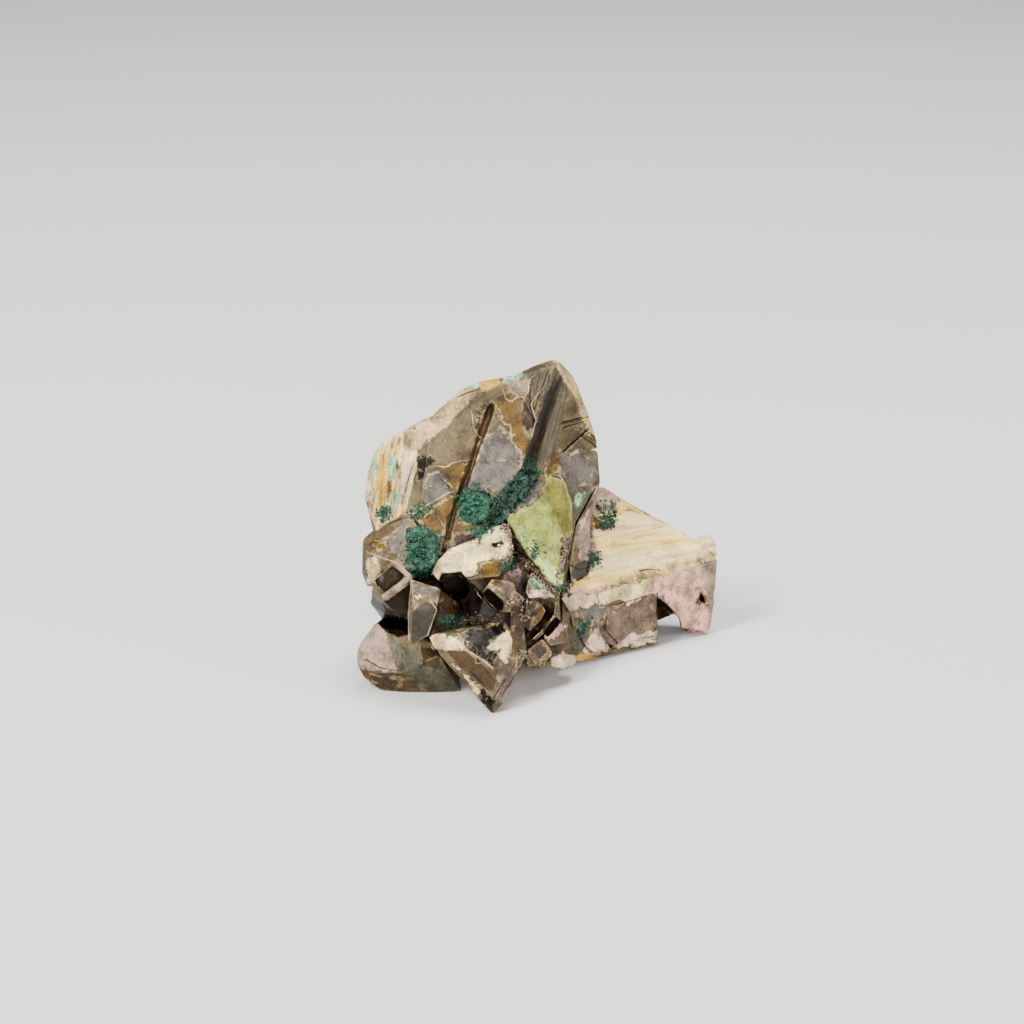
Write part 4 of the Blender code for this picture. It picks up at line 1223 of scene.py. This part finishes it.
def add_grains(mesh, places, sizes, dice):
    """Squashed, turned grains at the given places, in batches, because a full mesh is slow to add to."""
    for first in range(0, len(places), GRAIN_BATCH):
        batch = bmesh.new()
        for place in places[first:first + GRAIN_BATCH]:
            size = dice.uniform(*sizes)
            shape = Matrix.Diagonal([size * dice.uniform(0.7, 1.3) for _ in range(3)]).to_4x4()
            turn = Euler([dice.uniform(0, 2 * pi) for _ in range(3)]).to_matrix().to_4x4()
            bmesh.ops.create_icosphere(
                batch, subdivisions=1, radius=1.0, matrix=Matrix.Translation(place) @ turn @ shape,
            )
        data = bpy.data.meshes.new("batch")
        batch.to_mesh(data)
        batch.free()
        mesh.from_mesh(data)
        bpy.data.meshes.remove(data)


def scattered(mesh, count, dice):
    """Places spread evenly over a mesh's faces."""
    areas = [face.calc_area() for face in mesh.faces]
    found = []
    for face in dice.choices(list(mesh.faces), areas, k=count):
        first, second = sorted((dice.random(), dice.random()))
        corners = [vert.co for vert in face.verts]
        found.append(corners[0] * first + corners[1] * (second - first) + corners[2] * (1 - second))
    return found


def tints(mesh, first_grain, dice):
    """One brightness for each grain, and none for the body that they lie on."""
    values = np.zeros(len(mesh.verts))
    count = (len(values) - first_grain) // GRAIN_POINTS
    values[first_grain:] = np.repeat([dice.random() for _ in range(count)], GRAIN_POINTS)
    return values


def grown(co, normal, drop):
    """Where a point of a crust goes: up and rough beside the crystals, down and lumpy on top."""
    crown = smooth_step(0.35, 0.85, normal.dot((EYE - co).normalized()))
    lump = noise.noise(co / (0.8 * MM)) + 0.5 * noise.noise(co / (0.3 * MM))
    by = MOAT * (1 - crown) - drop * MM * crown + CRUST_ROUGH * (lump * crown + abs(lump) * (1 - crown))
    return co + normal * float(by)


dice = random.Random(4)
for node, (count, drop, shade) in CRUSTS.items():
    crust = merged_copy(node)
    finely_cut(crust, CRUST_EDGE, CRUST_EDGE)
    crust.normal_update()
    for vert in crust.verts:
        vert.co = grown(vert.co, vert.normal, drop)
    body_points = len(crust.verts)
    add_grains(crust, scattered(crust, count, dice), GRAIN_SIZES, dice)
    values = {"tint": tints(crust, body_points, dice), "shade": np.full(len(crust.verts), shade)}
    piece = piece_from(crust, node.replace("green_crust", "teal_crust"), crust_material, values)
    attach(piece, "root")
    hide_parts(node)
    print(piece.name, "triangles:", len(piece.data.polygons))

# %% [markdown]
# Round the crusts, and in small spots elsewhere, loose grains of the same teal lie on the crystals. They are
# strewn over the points that the teal coat reaches.

# %% Teal grains beside the crusts
DUST_COUNT = 4200
DUST_SIZES = (0.04 * MM, 0.12 * MM)
DUST_EDGE = 0.2
DUST_LOOSE = 0.1
DUST_SHADE = 0.8
covered = np.flatnonzero(visible & (coats["teal"] > DUST_EDGE))
likely = np.minimum(coats["teal"][covered] - DUST_EDGE, 0.3)
chosen = dice.choices(covered.tolist(), likely.tolist(), k=DUST_COUNT)
strewn = [
    Vector(moved[index]) + Vector([dice.uniform(-DUST_LOOSE, DUST_LOOSE) * MM for _ in range(3)])
    for index in chosen
]
dust = bmesh.new()
add_grains(dust, strewn, DUST_SIZES, dice)
values = {"tint": tints(dust, 0, dice), "shade": np.full(len(dust.verts), DUST_SHADE)}
teal_specks = piece_from(dust, "teal_specks", crust_material, values)
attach(teal_specks, "root")
print("teal specks, triangles:", len(teal_specks.data.polygons))

# %% [markdown]
# ## Drusy seams
# Where large crystals meet, the joints are packed with crystals as fine as sugar, some dark, some clear
# white. They are grains again, laid along the joints. Each stands on the face behind it, and where the
# joint is deep the grains pile up towards the front, each one touching the last.

# %% Drusy material
drusy_material, tree, shader = new_material("drusy_grains", {"Roughness": 0.4})
tinted = ramp_color(tree, attribute(tree, "tint"), {
    0.0: (48, 38, 30), 0.35: (112, 98, 80), 0.7: (168, 154, 134), 1.0: (212, 202, 184),
})
cloud = use_group(
    tree, mottling, millimetres(tree), Scale=2.0, Dark=paint(96, 82, 64), Light=paint(214, 202, 180),
)
give(tree, shader.inputs, {"Base Color": blend_colors(tree, 0.3, tinted, cloud["Color"])})
print("nodes in", drusy_material.name + ":", len(tree.nodes))

# %% Grains along the seams
# The seam's line in the picture, how wide it is in pixels, number of grains, and how high they pile up in mm
SEAMS = {
    "lens_seam": ("495,521 506,526 512,538 513,552 508,562", 4.0, 260, 0.5),
    "patch_seam": ("515,545 526,562 540,578 556,592", 5.0, 420, 1.0),
    "bright_grains": ("504,502 511,494 516,490", 3.0, 50, 1.2),
    "tooth_top_seam": ("464,622 478,617 498,622", 3.5, 160, 0.3),
    "dark_strip": ("566,536 565,550 560,566 556,578", 2.5, 150, 0.3),
    "column_seam": ("508,604 518,596 526,602 524,620", 4.0, 160, 0.4),
    "low_seam": ("520,652 530,662 546,664", 3.0, 120, 0.3),
}
SEAM_GRAINS = (0.05 * MM, 0.12 * MM)
PILE_STEP = 0.14 * MM
picture_tree = search_tree(np.pad(places, ((0, 0), (0, 1))), in_view)


def along_line(line, share):
    """The place at a share of a line's whole length."""
    corners = corners_of(line)
    lengths = np.linalg.norm(np.diff(corners, axis=0), axis=1)
    reached = np.concatenate([[0], np.cumsum(lengths)])
    return [np.interp(share * reached[-1], reached, corners[:, axis]) for axis in (0, 1)]


grain_places = []
for line, width, count, pile in SEAMS.values():
    for _ in range(count):
        across, down = along_line(line, dice.random())
        across += dice.gauss(0, width / 2)
        down += dice.gauss(0, width / 2)
        foot = Vector(moved[picture_tree.find((across, down, 0))[1]])
        to_eye = (EYE - foot).normalized()
        top = dice.random() ** 2 * pile * MM
        for step in range(1 + int(top / PILE_STEP)):
            grain_places.append(foot + to_eye * step * PILE_STEP)
seams = bmesh.new()
add_grains(seams, grain_places, SEAM_GRAINS, dice)
drusy_seams = piece_from(seams, "drusy_seams", drusy_material, {"tint": tints(seams, 0, dice)})
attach(drusy_seams, "root")
print("drusy grains:", len(grain_places))

# %% [markdown]
# ## Size
# How far the dressed specimen lies inside the solid's box, on each side, is printed. The dressed
# specimen has to stay inside the solid's box.

# %% Compare the boxes
low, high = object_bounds()
print("inside the solid's box by, mm:", [round(c / MM, 3) for c in (*(low - CAD_LOW), *(CAD_HIGH - high))])
